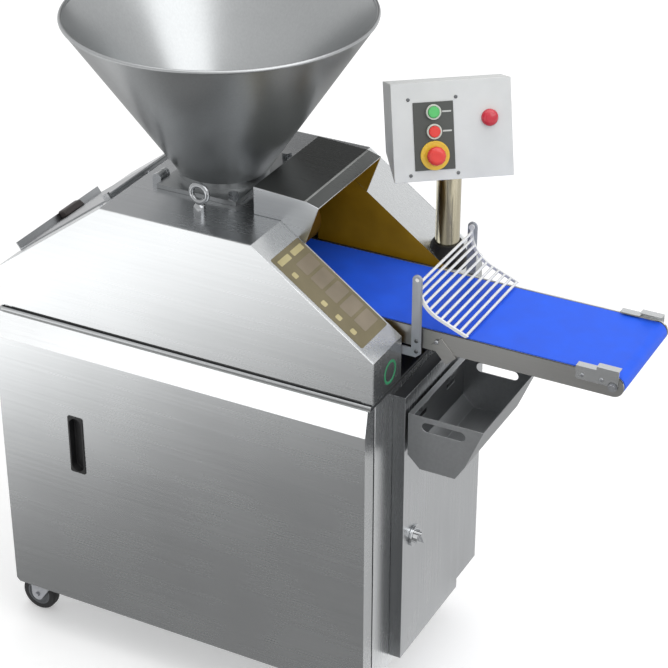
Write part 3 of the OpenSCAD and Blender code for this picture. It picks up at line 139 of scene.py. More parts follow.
steelX = brushedSteel("brushedStainlessAlongX", "#d0d2d3", "#c4c6c7", "x", 0.27)  # soft mirror, level lines
steelY = brushedSteel("brushedStainlessAlongY", "#d0d2d3", "#c4c6c7", "y", 0.32)  # duller, lines to the back
steelZ = brushedSteel("brushedStainlessAlongZ", "#ced0d2", "#c0c2c4", "z", 0.27)  # soft mirror, upright lines
bevelHighlight = brushedSteel("brushedStainlessBevelPaintedHighlight", "#f8fafb", "#eef0f1", "x", 0.27)  # leaning strip, nearly white as a painted highlight
doorEdgeShade = brushedSteel("brushedStainlessDoorEdgePaintedShade", "#9a9c9e", "#8e9092", "z", 0.27)  # folded edge, darker as painted shade under the cheek
steelPanel = brushedSteel("brushedStainlessPanel", "#e9ebec", "#dddfe0", "z", 0.27)  # paler upright sheet
steelDeck = brushedSteel("groundStainlessDeck", "#b2b4b5", "#a6a8a9", "x", 0.32)  # even mid grey plate
steelHatch = brushedSteel("groundStainlessHatch", "#a6a8aa", "#989a9c", "y", 0.34)  # dull mid grey plate
steelTop = brushedSteel("coldRolledStainlessTop", "#bfc1c3", "#b3b5b7", "x", 0.27,
                        spread=0.04, bump=0.006)  # smooth mill finish, clouded mirror
hoodReflection = brushedSteel("coldRolledStainlessHoodPaintedReflection", "#636564", "#5a5c5b", "x", 0.28,
                         spread=0.04, bump=0.006)  # the same, painted dark as a reflection of the hopper
steelHopper = brushedSteel("rolledStainlessCone", "#a9abac", "#9b9d9e", "z", 0.30,
                           streakMm=3.0, longMm=400, spread=0.05, bump=0.006)  # satin cone, upright shine
tubeWarmReflection = brushedSteel("satinTubePaintedWarmReflection", "#dbd3bb", "#cdc5ad", "z", 0.20,
                        spread=0.05, bump=0.01)  # clear mirror, its warm cast a painted reflection of the gold wall
steelTray = brushedSteel("rolledStainlessTray", "#acaeb0", "#9c9ea0", "y", 0.40)  # dull grey, blurred mirror
steelRail = brushedSteel("coldRolledStainlessRail", "#b0b0ae", "#a09f9d", "x", 0.34)  # grey, blurred mirror
polished = brushedSteel("polishedStainlessRod", "#cfd1d3", "#c1c3c5", "y", 0.13,
                        spread=0.06, bump=0.01)  # clear narrow highlights
chrome = brushedSteel("platedEyeBolt", "#9fa1a3", "#939597", "y", 0.12,
                      spread=0.06, bump=0.004)  # clear, darker highlights
zincPlate = brushedSteel("zincPlatedSteel", "#b4b6ba", "#a0a2a6", "z", 0.36)  # cool grey, soft shine
blackOxide = brushedSteel("blackOxideScrew", "#76787a", "#686a6c", "z", 0.40)  # dark grey, faint shine
steelPost = moulded("satinStainlessFlat", "#a3a7ae", "#989ca3", 0.36, 0.8, 0.05,
                    metallic=0.55)  # bluish satin bar
shadowSheet = moulded("sheetPaintedShadow", "#2b2c2e", "#232426", 0.55, 1.0, 0.08, metallic=0.3)  # nearly black, painted shade under the belt and along the channel
shadedSheet = moulded("satinSheetShaded", "#37393b", "#2e3032", 0.45, 1.0, 0.05, metallic=0.5)  # dark satin, painted shade on edges and rims in shadow
bronzeSheet = moulded("lacqueredSheetGold", "#b38b1b", "#a07a15", 0.45, 0.8, 0.06,
                      metallic=0.25, specular=0.3)  # deep gold without a mirror
brightRod = moulded("electropolishedRodAndRailHighlight", "#eeefef", "#e2e3e3", 0.30, 1.0, 0.02,
                    metallic=0.35)  # nearly white rods, and a painted highlight on the far rail's top
foldHighlight = moulded("sheetBendPaintedHighlight", "#a4a6a4", "#949694", 0.35, 1.0, 0.03, metallic=0.3)  # pale bend line, a painted highlight
castBronze = moulded("castBronzeDrum", "#8a6a24", "#7a5c1c", 0.42, 1.2, 0.08, metallic=0.5)  # brown gold
castIron = moulded("paintedCastIron", "#5a6068", "#4e545c", 0.55, 1.5, 0.25)  # grainy grey paint
machined = brushedSteel("machinedAluminium", "#c8cacb", "#b4b6b8", "x", 0.34)  # pale, blurred mirror
motorPaint = moulded("motorEnamel", "#3d5570", "#344a62", 0.42, 1.0, 0.12)  # blue grey, half gloss
greyPaint = moulded("powderCoatGrey", "#d2d4d3", "#cbcdcc", 0.42, 0.8, 0.10)  # pale grey, fine grain
darkPlastic = moulded("mattAbsDark", "#4b4d4a", "#434542", 0.5, 0.6, 0.08)  # dark grey, matt
bezelPlastic = moulded("satinAbsPale", "#ccd0c6", "#bec2b8", 0.35, 0.8, 0.04)  # pale rings, satin
blackPlastic = moulded("mattNylonBlack", "#1b1b1c", "#141415", 0.5, 0.6, 0.10)  # black, matt
brownPlastic = moulded("mattNylonBrown", "#3a3331", "#2f2928", 0.5, 0.6, 0.10)  # brown black, matt
bootRubber = moulded("mouldedRubberBoot", "#151413", "#0f0e0e", 0.6, 0.8, 0.12, specular=0.3)  # dead black
blackRubber = moulded("mouldedRubberBlack", "#222223", "#1a1a1b", 0.7, 0.8, 0.15)  # black, chalky
seamShade = moulded("siliconeBeadPaintedShade", "#4a4b4b", "#424343", 0.5, 0.8, 0.05)  # dark soft line, a bead in the seam whose dark grey is painted shade of the gap
sealGrey = moulded("siliconeSealGrey", "#9b9d9d", "#8f9191", 0.5, 0.8, 0.05)  # grey soft line
hubGrey = moulded("glassNylonGrey", "#5d6063", "#505356", 0.5, 0.8, 0.10)  # mid grey, matt
beltBlue = moulded("polyurethaneBeltBlue", "#2360ee", "#1f58e0", 0.46, 0.9, 0.10,
                   specular=0.3)  # strong matt blue
yellowGloss = moulded("glossAbsYellow", "#eac646", "#e2bb3a", 0.30, 1.5, 0.02, coat=0.2)  # smooth, shiny
redGloss = moulded("glossAbsRed", "#e2423a", "#d4362f", 0.30, 1.5, 0.02, coat=0.2)  # smooth, shiny
greenGloss = moulded("glossAbsGreen", "#5ec470", "#52b664", 0.30, 1.5, 0.02, coat=0.2)  # smooth, shiny
lampRed = moulded("tintedLensRed", "#c92238", "#b71a2e", 0.22, 1.5, 0.02, coat=0.4)  # deep red, wet shine
whiteNylon = moulded("machinedNylonWhite", "#e8e8e4", "#dcdcd8", 0.45, 1.0, 0.05)  # off white, satin
filmOlive = moulded("printedFilmOlive", "#776e54", "#686045", 0.48, 0.7, 0.05)  # flat olive print
filmTan = moulded("printedFilmTan", "#8a7f6e", "#7b7160", 0.48, 0.7, 0.05)  # flat tan print
filmPale = moulded("printedFilmPale", "#c2b78a", "#b2a779", 0.48, 0.7, 0.05)  # flat straw print
filmWhite = moulded("printedFilmWhite", "#c4c6c2", "#b8bab6", 0.5, 0.7, 0.05)  # flat grey white print
filmGreen = moulded("printedFilmGreen", "#2c8a5d", "#257c52", 0.48, 0.7, 0.05)  # flat green print

finish = {
    "front_door": steelX, "housing_front": steelX, "housing_back": steelX, "back_panel": steelX,
    "deck_plate": steelDeck, "near_cheek": steelX, "far_cheek": steelX, "conveyor_frame": steelRail,
    "belt_clips": steelX, "housing_left": steelY, "left_hatch": steelHatch, "outlet_hood": steelTop,
    "housing_top": steelTop, "right_panel": steelPanel, "left_panel": steelZ, "side_door": steelZ,
    "guard_posts": steelPost, "control_post": tubeWarmReflection, "tray_hooks": steelTray, "corner_posts": steelZ,
    "floor_pan": steelX, "door_hinges": steelZ, "hopper": steelHopper, "hopper_clamps": polished,
    "scrap_tray": steelTray, "guard_grid": brightRod, "lifting_eye": polished, "latch_knob": polished,
    "castor_plates": zincPlate, "chamber_block": machined, "gear_case": castIron,
    "rocker_bearing": castIron, "drive_motor": motorPaint, "electrical_box": greyPaint,
    "control_box": greyPaint, "control_cover": greyPaint, "button_plate": darkPlastic,
    "estop_collar": yellowGloss, "estop_button": redGloss, "red_button": redGloss,
    "green_button": greenGloss, "indicator_lamp": lampRed, "conveyor_belt": beltBlue,
    "post_boot": bootRubber, "pull_cup": blackPlastic, "hatch_handle": brownPlastic,
    "ram": polished, "rocker_lever": castIron, "measuring_drum": castBronze, "drum_piston": whiteNylon,
    "drive_roller": machined, "tail_roller": machined,
}
corners = ("fl", "fr", "bl", "br")
for corner in corners:
    finish["castor_fork_" + corner] = zincPlate
    finish["castor_wheel_" + corner] = blackRubber
for name, material in finish.items():
    nodes[name].data.materials.clear()
    nodes[name].data.materials.append(material)
nodes["conveyor_belt"].visible_glossy = False  # matt belt, kept out of the metal's mirror
print("finishes on", len(finish), "nodes")


def linked(name, mesh):
    obj = bpy.data.objects.new(name, mesh)
    bpy.context.scene.collection.objects.link(obj)
    return obj


def evaluated(obj):  # plain mesh of an object with its modifiers
    graph = bpy.context.evaluated_depsgraph_get()
    made = obj.evaluated_get(graph)
    return bpy.data.meshes.new_from_object(made, preserve_all_data_layers=True, depsgraph=graph)


def fitted(name, mesh, body, slotName, *materials):  # finished piece on a body
    obj = linked(name, mesh)
    for material in materials:
        mesh.materials.append(material)
    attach(obj, body)
    return obj


softEdges = {  # bend or break radius in mm, and the least angle of a crease that stays crisp
    "front_door": (1.4, 5), "side_door": (1.4, 20), "right_panel": (0.8, 20), "left_panel": (0.8, 20),
    "back_panel": (0.8, 20), "deck_plate": (1.5, 20), "housing_front": (1.0, 20), "housing_back": (1.0, 20),
    "housing_left": (1.0, 20), "housing_top": (0.25, 20), "near_cheek": (1.0, 20), "far_cheek": (1.0, 20),
    "outlet_hood": (1.0, 10), "left_hatch": (1.2, 20), "hatch_handle": (3.0, 20), "scrap_tray": (0.7, 20),
    "guard_posts": (0.9, 20), "conveyor_frame": (0.6, 20), "belt_clips": (0.6, 20),
    "control_box": (1.8, 20), "control_cover": (1.2, 20), "button_plate": (0.7, 25), "pull_cup": (1.0, 25),
    "electrical_box": (3.0, 20), "gear_case": (3.0, 25), "rocker_lever": (2.0, 25), "latch_knob": (1.6, 25),
    "tray_hooks": (0.6, 20), "castor_plates": (0.8, 25), "post_boot": (2.0, 25), "chamber_block": (1.0, 25),
}
channel = {"half": 0.1295, "start": -0.088, "rail": 0.108, "end": 0.2}  # outlet between the cheeks, in metres
rims = {"deck": 0.2255, "deckHalf": 0.31, "panel": 0.79, "door": 0.7,
        "ears": ((-0.19, -0.178), (0.12, 0.131))}  # where picked edges lie, in metres
looks = 0.7  # least share of a normal along an axis for a face that looks that way


def inChannel(face):  # walls towards the belt
    return abs(abs(face.center.y) - channel["half"]) < 0.0006 and abs(face.normal.y) > looks


def underHood(face):  # inner side of the hood
    inside = abs(face.center.y) < channel["half"] + 0.0002 and face.center.x > channel["start"]
    return inside and (face.normal.z < -0.3 or abs(face.normal.y) > looks)


def onHood(face):  # upper side of the hood, painted dark as a reflection of the hopper
    return face.normal.z > 0.9


def onFold(face):  # narrow strip of the hood's bend, painted pale as a highlight
    return onHood(face) and abs(face.center.x / mm - hoodFold["x"]) < hoodFold["wide"] * 0.6


def onBezel(face):  # rings around the two push buttons
    return (headFrame.inverted() @ (face.center / mm)).y < controlHead["face"] - controlHead["bezel"]


def belowBelt(face):  # deck between the cheeks, painted dark as shade under the belt
    return face.normal.z > looks and abs(face.center.y) < channel["half"] + 0.0001


def farRail(face):  # upper edge of the far rail
    return face.normal.z > looks and face.center.y > channel["rail"]


def farRailTop(face):  # its part past the cheeks, painted nearly white as a highlight
    return farRail(face) and face.center.x > channel["end"]


def farRailInner(face):  # its part in the channel's shade
    return farRail(face) and face.center.x < channel["end"]


def nearRailTop(face):  # upper edge of the near rail, painted dark as shade beside the belt
    return face.normal.z > 0.5 and face.center.y < -channel["rail"]


def doorBevel(face):  # leaning strip along the front door's upper edge, painted as a highlight
    return 0.05 < face.normal.z < 0.95 and face.normal.y < -0.2


def deckEdge(face):  # deck's right edge below the belt, painted dark as shade
    return face.center.x > rims["deck"] and abs(face.center.y) < rims["deckHalf"]


def panelEdge(face):  # upper rim of the right panel, painted dark as shade
    return face.center.z > rims["panel"] and face.normal.z > 0.3


def hatchEar(face):  # ears that carry the hatch's rod
    return any(low < face.center.y < high for low, high in rims["ears"])


def doorEdge(face):  # front edge of the side door, painted darker as shade
    return face.normal.y < -looks


def doorTop(face):  # upper fold of the side door, painted dark as shade
    return face.center.z > rims["door"] and face.normal.z > looks


secondFinish = {  # other finishes on faces of a node, the last that fits holds
    "deck_plate": [(belowBelt, shadowSheet), (deckEdge, shadedSheet)],
    "front_door": [(doorBevel, bevelHighlight)], "right_panel": [(panelEdge, shadedSheet)],
    "side_door": [(doorEdge, doorEdgeShade), (doorTop, shadedSheet)],
    "housing_left": [(hatchEar, steelHatch)], "button_plate": [(onBezel, bezelPlastic)],
    "near_cheek": [(inChannel, bronzeSheet)], "far_cheek": [(inChannel, bronzeSheet)],
    "outlet_hood": [(onHood, hoodReflection), (underHood, bronzeSheet), (onFold, foldHighlight)],
    "conveyor_frame": [(farRailTop, brightRod), (farRailInner, shadowSheet), (nearRailTop, shadedSheet)],
}
controlHead = {"stand": (181.5, 172, 1101), "yaw": 37, "tilt": 18.5, "back": 9, "height": 193,
               "face": -42, "bezel": 2.6}
headFrame = (
    Matrix.Translation(controlHead["stand"])
    @ Matrix.Rotation(math.radians(controlHead["yaw"]), 4, "Z")
    @ Matrix.Rotation(math.radians(-controlHead["tilt"]), 4, "X")
    @ Matrix.Translation((0, -controlHead["back"], controlHead["height"] / 2))
)
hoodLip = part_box("outlet_hood")[1].x / mm
hoodFold = {"from": hoodLip - 51, "x": hoodLip - 29, "wide": 4.5, "fall": 0.055}
clean = {"merge": 0.00001, "flat": 0.4, "sharp": 30, "narrow": 0.006}  # metres, degrees, degrees, metres


def bendHood(form):  # bend nearer to the lip, with its own narrow strip
    for vert in form.verts:
        if abs(vert.co.x / mm - hoodFold["from"]) < 1.5:
            shift = (hoodFold["x"] - hoodFold["from"]) * mm
            vert.co += Vector((shift, 0, -shift * hoodFold["fall"]))
    bend = [edge for edge in form.edges
            if all(abs(v.co.x / mm - hoodFold["x"]) < 0.3 for v in edge.verts)
            and abs(edge.verts[0].co.y - edge.verts[1].co.y) > 0.1
            and all(face.normal.z > 0.5 for face in edge.link_faces)]
    bmesh.ops.bevel(form, geom=bend, offset=hoodFold["wide"] * mm / 2, segments=1, affect="EDGES")


def softEdged(node, width, crease):  # the node's own form with its edges broken
    form = bmesh.new()
    form.from_mesh(nodes[node].data)
    bmesh.ops.remove_doubles(form, verts=form.verts[:], dist=clean["merge"])
    bmesh.ops.dissolve_limit(form, angle_limit=math.radians(clean["flat"]),
                             verts=form.verts[:], edges=form.edges[:])
    if node == "outlet_hood":
        bendHood(form)
    if node == "conveyor_frame":  # cut where the rails leave the channel
        whole = form.verts[:] + form.edges[:] + form.faces[:]
        bmesh.ops.bisect_plane(form, geom=whole, plane_co=(channel["end"], 0, 0), plane_no=(1, 0, 0))
    for face in form.faces:
        face.smooth = True
    for edge in form.edges:
        bend = math.degrees(edge.calc_face_angle(0)) if len(edge.link_faces) == 2 else 0
        edge.smooth = not crease < bend < clean["sharp"]
    mesh = bpy.data.meshes.new(node + "Form")
    form.to_mesh(mesh)
    form.free()
    obj = linked(node + "Form", mesh)
    bevel = obj.modifiers.new("brokenEdge", "BEVEL")
    bevel.width = width * mm
    bevel.segments = 2
    bevel.limit_method = "ANGLE"
    bevel.angle_limit = math.radians(clean["sharp"])
    mesh = evaluated(obj)
    bpy.data.objects.remove(obj)
    mesh.materials.clear()
    for face in mesh.polygons:  # flat sheet stays flat, only breaks and curves are smooth
        points = [mesh.vertices[i].co for i in face.vertices]
        longest = max((a - b).length for a, b in zip(points, points[1:] + points[:1]))
        face.use_smooth = face.area / longest < clean["narrow"]
    materials = [finish[node]]
    for pick, second in secondFinish.get(node, []):
        materials.append(second)
        for face in mesh.polygons:
            if pick(face):
                face.material_index = len(materials) - 1
    obj = fitted(node + ".softEdged", mesh, bodyOf[node], slotOf[node], *materials)
    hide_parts(node)


for node, (width, crease) in softEdges.items():
    softEdged(node, width, crease)
print("soft edges on", len(softEdges), "nodes")


def turned(profile, steps=48, shape=None):  # lathe form about Z from (radius, height) pairs in mm
    form = bmesh.new()
    rings = []
    for k, (r, h) in enumerate(profile):
        count = steps if r else 1
        angles = [2 * math.pi * i / count for i in range(count)]
        radii = [r * (shape(k, a) if shape else 1) for a in angles]
        rings.append([form.verts.new((q * math.cos(a), q * math.sin(a), h)) for q, a in zip(radii, angles)])
    pairs = list(zip(rings, rings[1:]))
    if len(rings[0]) > 1 and len(rings[-1]) > 1:
        pairs.append((rings[-1], rings[0]))
    for low, high in pairs:
        for i in range(steps):
            j = i + 1
            spots = [low[i % len(low)], low[j % len(low)], high[j % len(high)], high[i % len(high)]]
            form.faces.new(list(dict.fromkeys(spots)))
    bmesh.ops.recalc_face_normals(form, faces=form.faces[:])
    return form


def roundLoop(long, wide, fillet, steps=6):  # rectangle with round corners
    ring = []
    for cx, cy, start in ((1, 1, 0), (-1, 1, 90), (-1, -1, 180), (1, -1, 270)):
        for i in range(steps + 1):
            a = math.radians(start + 90 * i / steps)
            ring.append((cx * (long / 2 - fillet) + fillet * math.cos(a),
                         cy * (wide / 2 - fillet) + fillet * math.sin(a)))
    return ring


def lofted(levels, ends=True):  # closed form through loops of equal count, each with its height, in mm
    form = bmesh.new()
    loops = [[form.verts.new((x, y, z)) for x, y in line] for line, z in levels]
    pairs = list(zip(loops, loops[1:]))
    if ends:
        form.faces.new(loops[0][::-1])
        form.faces.new(loops[-1])
    else:
        pairs.append((loops[-1], loops[0]))
    for low, high in pairs:
        for i in range(len(low)):
            j = (i + 1) % len(low)
            form.faces.new((low[i], low[j], high[j], high[i]))
    bmesh.ops.recalc_face_normals(form, faces=form.faces[:])
    return form


def slab(long, wide, thick, fillet, soft=0.0):  # plate with round corners, lying on Z = 0, in mm
    ring = roundLoop(long, wide, fillet)
    inner = [(x * (1 - 2 * soft / long), y * (1 - 2 * soft / wide)) for x, y in ring]
    return lofted([(ring, 0), (ring, thick - soft), (inner, thick)])


def solid(name, form, place=Matrix(), crease=35):  # bmesh in mm to a mesh in metres at its place
    form.transform(Matrix.Scale(mm, 4) @ place)
    mesh = bpy.data.meshes.new(name)
    form.to_mesh(mesh)
    form.free()
    mesh.shade_smooth()
    mesh.set_sharp_from_angle(angle=math.radians(crease))
    return mesh


def fastenerTree():  # instances of a head on points that carry the direction they face
    tree = bpy.data.node_groups.new("fastenerRows", "GeometryNodeTree")
    for label, kind in (
        ("Geometry", "NodeSocketGeometry"), ("Head", "NodeSocketObject"), ("Size", "NodeSocketFloat"),
        ("Spin", "NodeSocketFloat"), ("Seed", "NodeSocketInt"), ("Finish", "NodeSocketMaterial"),
    ):
        tree.interface.new_socket(name=label, in_out="INPUT", socket_type=kind)
    tree.interface.new_socket(name="Geometry", in_out="OUTPUT", socket_type="NodeSocketGeometry")
    given = addNode(tree, "NodeGroupInput").outputs
    ways = addNode(tree, "GeometryNodeInputNamedAttribute", {"data_type": "FLOAT_VECTOR", "Name": "facing"})
    turn = addNode(tree, "FunctionNodeAlignRotationToVector", {"axis": "Z"}, {"Vector": ways.outputs[0]})
    chance = addNode(tree, "FunctionNodeRandomValue", {"data_type": "FLOAT"},
                     {3: given["Spin"], "Seed": given["Seed"]})
    own = addNode(tree, "FunctionNodeAxisAngleToRotation", {"Axis": (0, 0, 1)}, {"Angle": chance.outputs[1]})
    whole = addNode(tree, "FunctionNodeRotateRotation", {"rotation_space": "LOCAL"},
                    {0: turn.outputs[0], 1: own.outputs[0]})
    head = addNode(tree, "GeometryNodeObjectInfo", {"As Instance": True}, {"Object": given["Head"]})
    spread = addNode(tree, "GeometryNodeInstanceOnPoints", None, {
        "Points": given["Geometry"], "Instance": head.outputs["Geometry"],
        "Rotation": whole.outputs[0], "Scale": given["Size"]})
    real = addNode(tree, "GeometryNodeRealizeInstances", None, {"Geometry": spread.outputs[0]})
    done = addNode(tree, "GeometryNodeSetMaterial", None,
                   {"Geometry": real.outputs[0], "Material": given["Finish"]})
    addNode(tree, "NodeGroupOutput", None, {"Geometry": done.outputs[0]})
    return tree


rowsTree = fastenerTree()
rowsInput = {item.name: item.identifier for item in rowsTree.interface.items_tree if item.in_out == "INPUT"}


def inRows(name, spots, headMesh, material, body, slotName, spin=2 * math.pi, seed=1):
    mesh = bpy.data.meshes.new(name)  # spots: place in mm, and direction
    mesh.from_pydata([Vector(place) * mm for place, way in spots], [], [])
    ways = mesh.attributes.new("facing", "FLOAT_VECTOR", "POINT")
    for i, (place, way) in enumerate(spots):
        ways.data[i].vector = Vector(way).normalized()
    carrier = linked(name + "Spots", mesh)
    head = linked(name + "Head", headMesh)
    rows = carrier.modifiers.new("rows", "NODES")
    rows.node_group = rowsTree
    values = {"Head": head, "Size": 1.0, "Spin": spin, "Seed": seed, "Finish": material}
    for label, value in values.items():
        rows[rowsInput[label]] = value
    made = evaluated(carrier)
    carrier.modifiers.clear()
    bpy.data.objects.remove(carrier)
    bpy.data.objects.remove(head)
    fitted(name, made, body, slotName)


def hexagon(rings):  # makes the named rings of a lathe form six-sided
    half = math.pi / 6
    return lambda k, a: math.cos(half) / math.cos(a % (math.pi / 3) - half) if k in rings else 1


def socketHead(radius, height):  # button head with a hexagon socket
    profile = [(0, -0.2), (radius, -0.2), (radius, height * 0.45), (radius * 0.9, height * 0.8),
               (radius * 0.7, height), (radius * 0.5, height), (radius * 0.47, height * 0.35),
               (0, height * 0.3)]
    return solid("socketHead", turned(profile, 24, hexagon((5, 6))), crease=40)


def hexHead(radius, height):  # hexagon bolt on its washer
    profile = [(0, -0.2), (radius * 1.25, -0.2), (radius * 1.25, 1.2), (radius * 1.02, 1.2),
               (radius, 1.2), (radius, height - 0.6), (radius * 0.88, height), (0, height)]
    return solid("hexHead", turned(profile, 24, hexagon((4, 5))), crease=30)


def onFace(u, v):  # point on the control face
    return headFrame @ Vector((u, controlHead["face"], v))


faceWay = headFrame.to_3x3() @ Vector((0, -1, 0))
lowBack, highBack = [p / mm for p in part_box("back_panel")]
lowLeft, highLeft = [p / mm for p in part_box("left_panel")]
lowRear, highRear = [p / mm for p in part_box("housing_back")]
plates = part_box("castor_plates")[1].z / mm - 6  # underside of the 6 mm castor plates
leftSlope = {"run": 255, "rise": 187, "foot": (-624.5, 901)}  # housing's left side, in mm
slopeLeft = Vector((-leftSlope["rise"], 0, leftSlope["run"])).normalized()
castorSpots = {"x": (-595.5, 122.5), "y": (-192, 216), "bolt": (-22, 22)}  # swivel axes, bolts around them


def slopeZ(x):  # height of the left side at x
    return leftSlope["foot"][1] + (x - leftSlope["foot"][0]) * leftSlope["rise"] / leftSlope["run"]


screwRows = {  # head radius and height, finish, body, slot, places with the way each faces
    "faceScrews": (3.6, 1.8, blackOxide, "control_head", "dark_plastic",
                   [(onFace(u, v), faceWay)
                    for u, v in ((-86, 64), (8.5, 64.5), (-86.5, -84), (8, -84))]),
    "postScrews": (4.2, 2.2, blackOxide, "body", "dark_plastic",
                   [((257.5, s * 127.5, z), (0, s, 0)) for s in (-1, 1) for z in (874, 897)]),
    "armScrews": (4.6, 2.6, zincPlate, "body", "satin_steel",
                  [((297.5, s * 123, 902.5), (0, s, 0)) for s in (-1, 1)]),
    "clipScrews": (3.8, 2.0, zincPlate, "body", "satin_steel",
                   [((x, s * 122, 912), (0, s, 0)) for s in (-1, 1) for x in (592, 630)]),
    "backScrews": (5.0, 2.4, zincPlate, "body", "satin_steel",
                   [((lowBack.x + 16 + i * (highBack.x - lowBack.x - 32) / 5, highBack.y, z), (0, 1, 0))
                    for i in range(6) for z in (lowBack.z + 14, highBack.z - 14)]
                   + [((x, highBack.y, lowBack.z + j * (highBack.z - lowBack.z) / 4), (0, 1, 0))
                      for x in (lowBack.x + 16, highBack.x - 16) for j in (1, 2, 3)]),
    "leftScrews": (5.0, 2.4, zincPlate, "body", "satin_steel",
                   [((lowLeft.x, lowLeft.y + 16 + i * (highLeft.y - lowLeft.y - 32) / 3, z), (-1, 0, 0))
                    for i in range(4) for z in (lowLeft.z + 14, highLeft.z - 14)]),
    "rearScrews": (4.2, 2.2, zincPlate, "body", "satin_steel",
                   [((lowRear.x + 20 + i * (highRear.x - lowRear.x - 40) / 5, highRear.y, lowRear.z + 14),
                     (0, 1, 0)) for i in range(6)]),
    "slopeScrews": (4.2, 2.2, zincPlate, "body", "satin_steel",
                    [((x, y, slopeZ(x)), slopeLeft) for x, y in ((-384, -46), (-384, 170), (-384, -220))]),
}
boltRows = {  # head radius and height, seed, places with the way each faces
    "axleBolts": (7.5, 6, 21, [((652.5, s * 122, 902), (0, s, 0)) for s in (-1, 1)]),
    "castorBolts": (5.0, 4.5, 22,
                    [((x + dx, y + dy, plates), (0, 0, -1))
                     for x in castorSpots["x"] for y in castorSpots["y"]
                     for dx in castorSpots["bolt"] for dy in castorSpots["bolt"]]),
}
for seed, (name, (radius, height, material, body, slotName, spots)) in enumerate(screwRows.items()):
    inRows(name, spots, socketHead(radius, height), material, body, slotName, seed=seed + 1)
for name, (radius, height, seed, spots) in boltRows.items():
    inRows(name, spots, hexHead(radius, height), zincPlate, "body", "satin_steel", seed=seed)
print("fasteners:", sum(len(row[-1]) for rows in (screwRows, boltRows) for row in rows.values()))


def facing(u, v):  # frame on the control face with Z out of it
    lie = headFrame.to_3x3().to_4x4() @ Matrix.Rotation(math.pi / 2, 4, "X")
    return Matrix.Translation(onFace(u, v)) @ lie


pushCap = {
    "at": (("green_button", 38, greenGloss), ("red_button", 0, redGloss)), "u": -37.5,
    "profile": [(0, 10.3), (7.0, 10.45), (8.8, 10.45), (9.1, 10.1), (9.6, 10.1), (9.9, 10.4),
                (10.6, 10.2), (11.2, 9.4), (11.2, 6.5), (8, 6.5), (8, -15), (0, -15)],
}
for node, v, material in pushCap["at"]:
    capMesh = solid(node, turned(pushCap["profile"]), facing(pushCap["u"], v))
    cap = fitted(node + ".cap", capMesh, bodyOf[node], slotOf[node], material)
    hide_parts(node)

mushroom = {
    "v": -47, "flutes": 12, "depth": 0.035, "sides": (4, 5, 6, 7),
    "profile": [(0, 24.4), (4, 24.5), (9, 24.9), (12.5, 24.6), (16.2, 22.9), (18.4, 20.2), (19, 17.4),
                (18.8, 14.4), (17.6, 12.2), (15.2, 10.6), (8, 10.6), (8, -16), (0, -16)],
}


def grip(k, a):  # shallow flutes around the mushroom's sides
    wave = 0.5 - 0.5 * math.cos(mushroom["flutes"] * a)
    return 1 - mushroom["depth"] * wave if k in mushroom["sides"] else 1


stopFrame = facing(pushCap["u"], mushroom["v"])
stop = fitted("estop_button.mushroom", solid("mushroom", turned(mushroom["profile"], 96, grip), stopFrame),
              bodyOf["estop_button"], slotOf["estop_button"], redGloss)
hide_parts("estop_button")

collarRing = {"profile": [(11.2, 2.1), (28.9, 2.1), (28.9, 3.8), (28.1, 4.9), (25.2, 4.9), (24.7, 4.5),
                          (13, 4.5), (11.2, 4.2)]}
collar = fitted("estop_collar.ring", solid("collarRing", turned(collarRing["profile"], 72), stopFrame),
                bodyOf["estop_collar"], slotOf["estop_collar"], yellowGloss)
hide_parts("estop_collar")

lens = {"at": (74.5, 20),
        "profile": [(0, 12.9), (5, 12.7), (9, 11.9), (9.6, 11.2), (10.4, 11.2), (13.2, 9.6), (15, 7.9),
                    (16.2, 5.8), (16.9, 3.6), (16.9, 0.1), (8, 0.1), (8, -20), (0, -20)]}
lamp = fitted("indicator_lamp.lens", solid("lens", turned(lens["profile"], 64), facing(*lens["at"])),
              bodyOf["indicator_lamp"], slotOf["indicator_lamp"], lampRed)
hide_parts("indicator_lamp")

blankBars = {"u": -11, "h": 2.0, "size": (18, 3, 0.25, 0.6), "v": (38, 0)}  # plain marks without words
for v in blankBars["v"]:
    spot = facing(blankBars["u"], v) @ Matrix.Translation((0, 0, blankBars["h"]))
    barMesh = solid("blankBar", slab(*blankBars["size"]), spot)
    fitted("blankBar%d" % v, barMesh, "control_head", "white_plastic", filmWhite)
print("control face done")

pullFlange = {"outer": (137, 37, 4), "inner": (129, 29, 14.4), "edge": 0.5, "thick": 1.9,
              "inset": 0.05}  # square-cornered rim of the door's pull
lowPull, highPull = [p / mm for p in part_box("pull_cup")]
outer, inner = roundLoop(*pullFlange["outer"]), roundLoop(*pullFlange["inner"])
edge, thick = pullFlange["edge"], pullFlange["thick"]
broken = [(x * (1 - edge / abs(x)), y * (1 - edge / abs(y))) for x, y in outer]
flangeForm = lofted([(inner, 0), (broken, 0), (outer, edge), (outer, thick), (inner, thick)], ends=False)
pullFrame = Matrix((  # X up, Y along the door, Z into it
    (0, 1, 0, (lowPull.x + highPull.x) / 2),
    (0, 0, 1, lowPull.y + pullFlange["inset"]),
    (1, 0, 0, (lowPull.z + highPull.z) / 2),
    (0, 0, 0, 1),
))
fitted("pullFlange", solid("pullFlange", flangeForm, pullFrame), bodyOf["pull_cup"], slotOf["pull_cup"],
       blackPlastic)

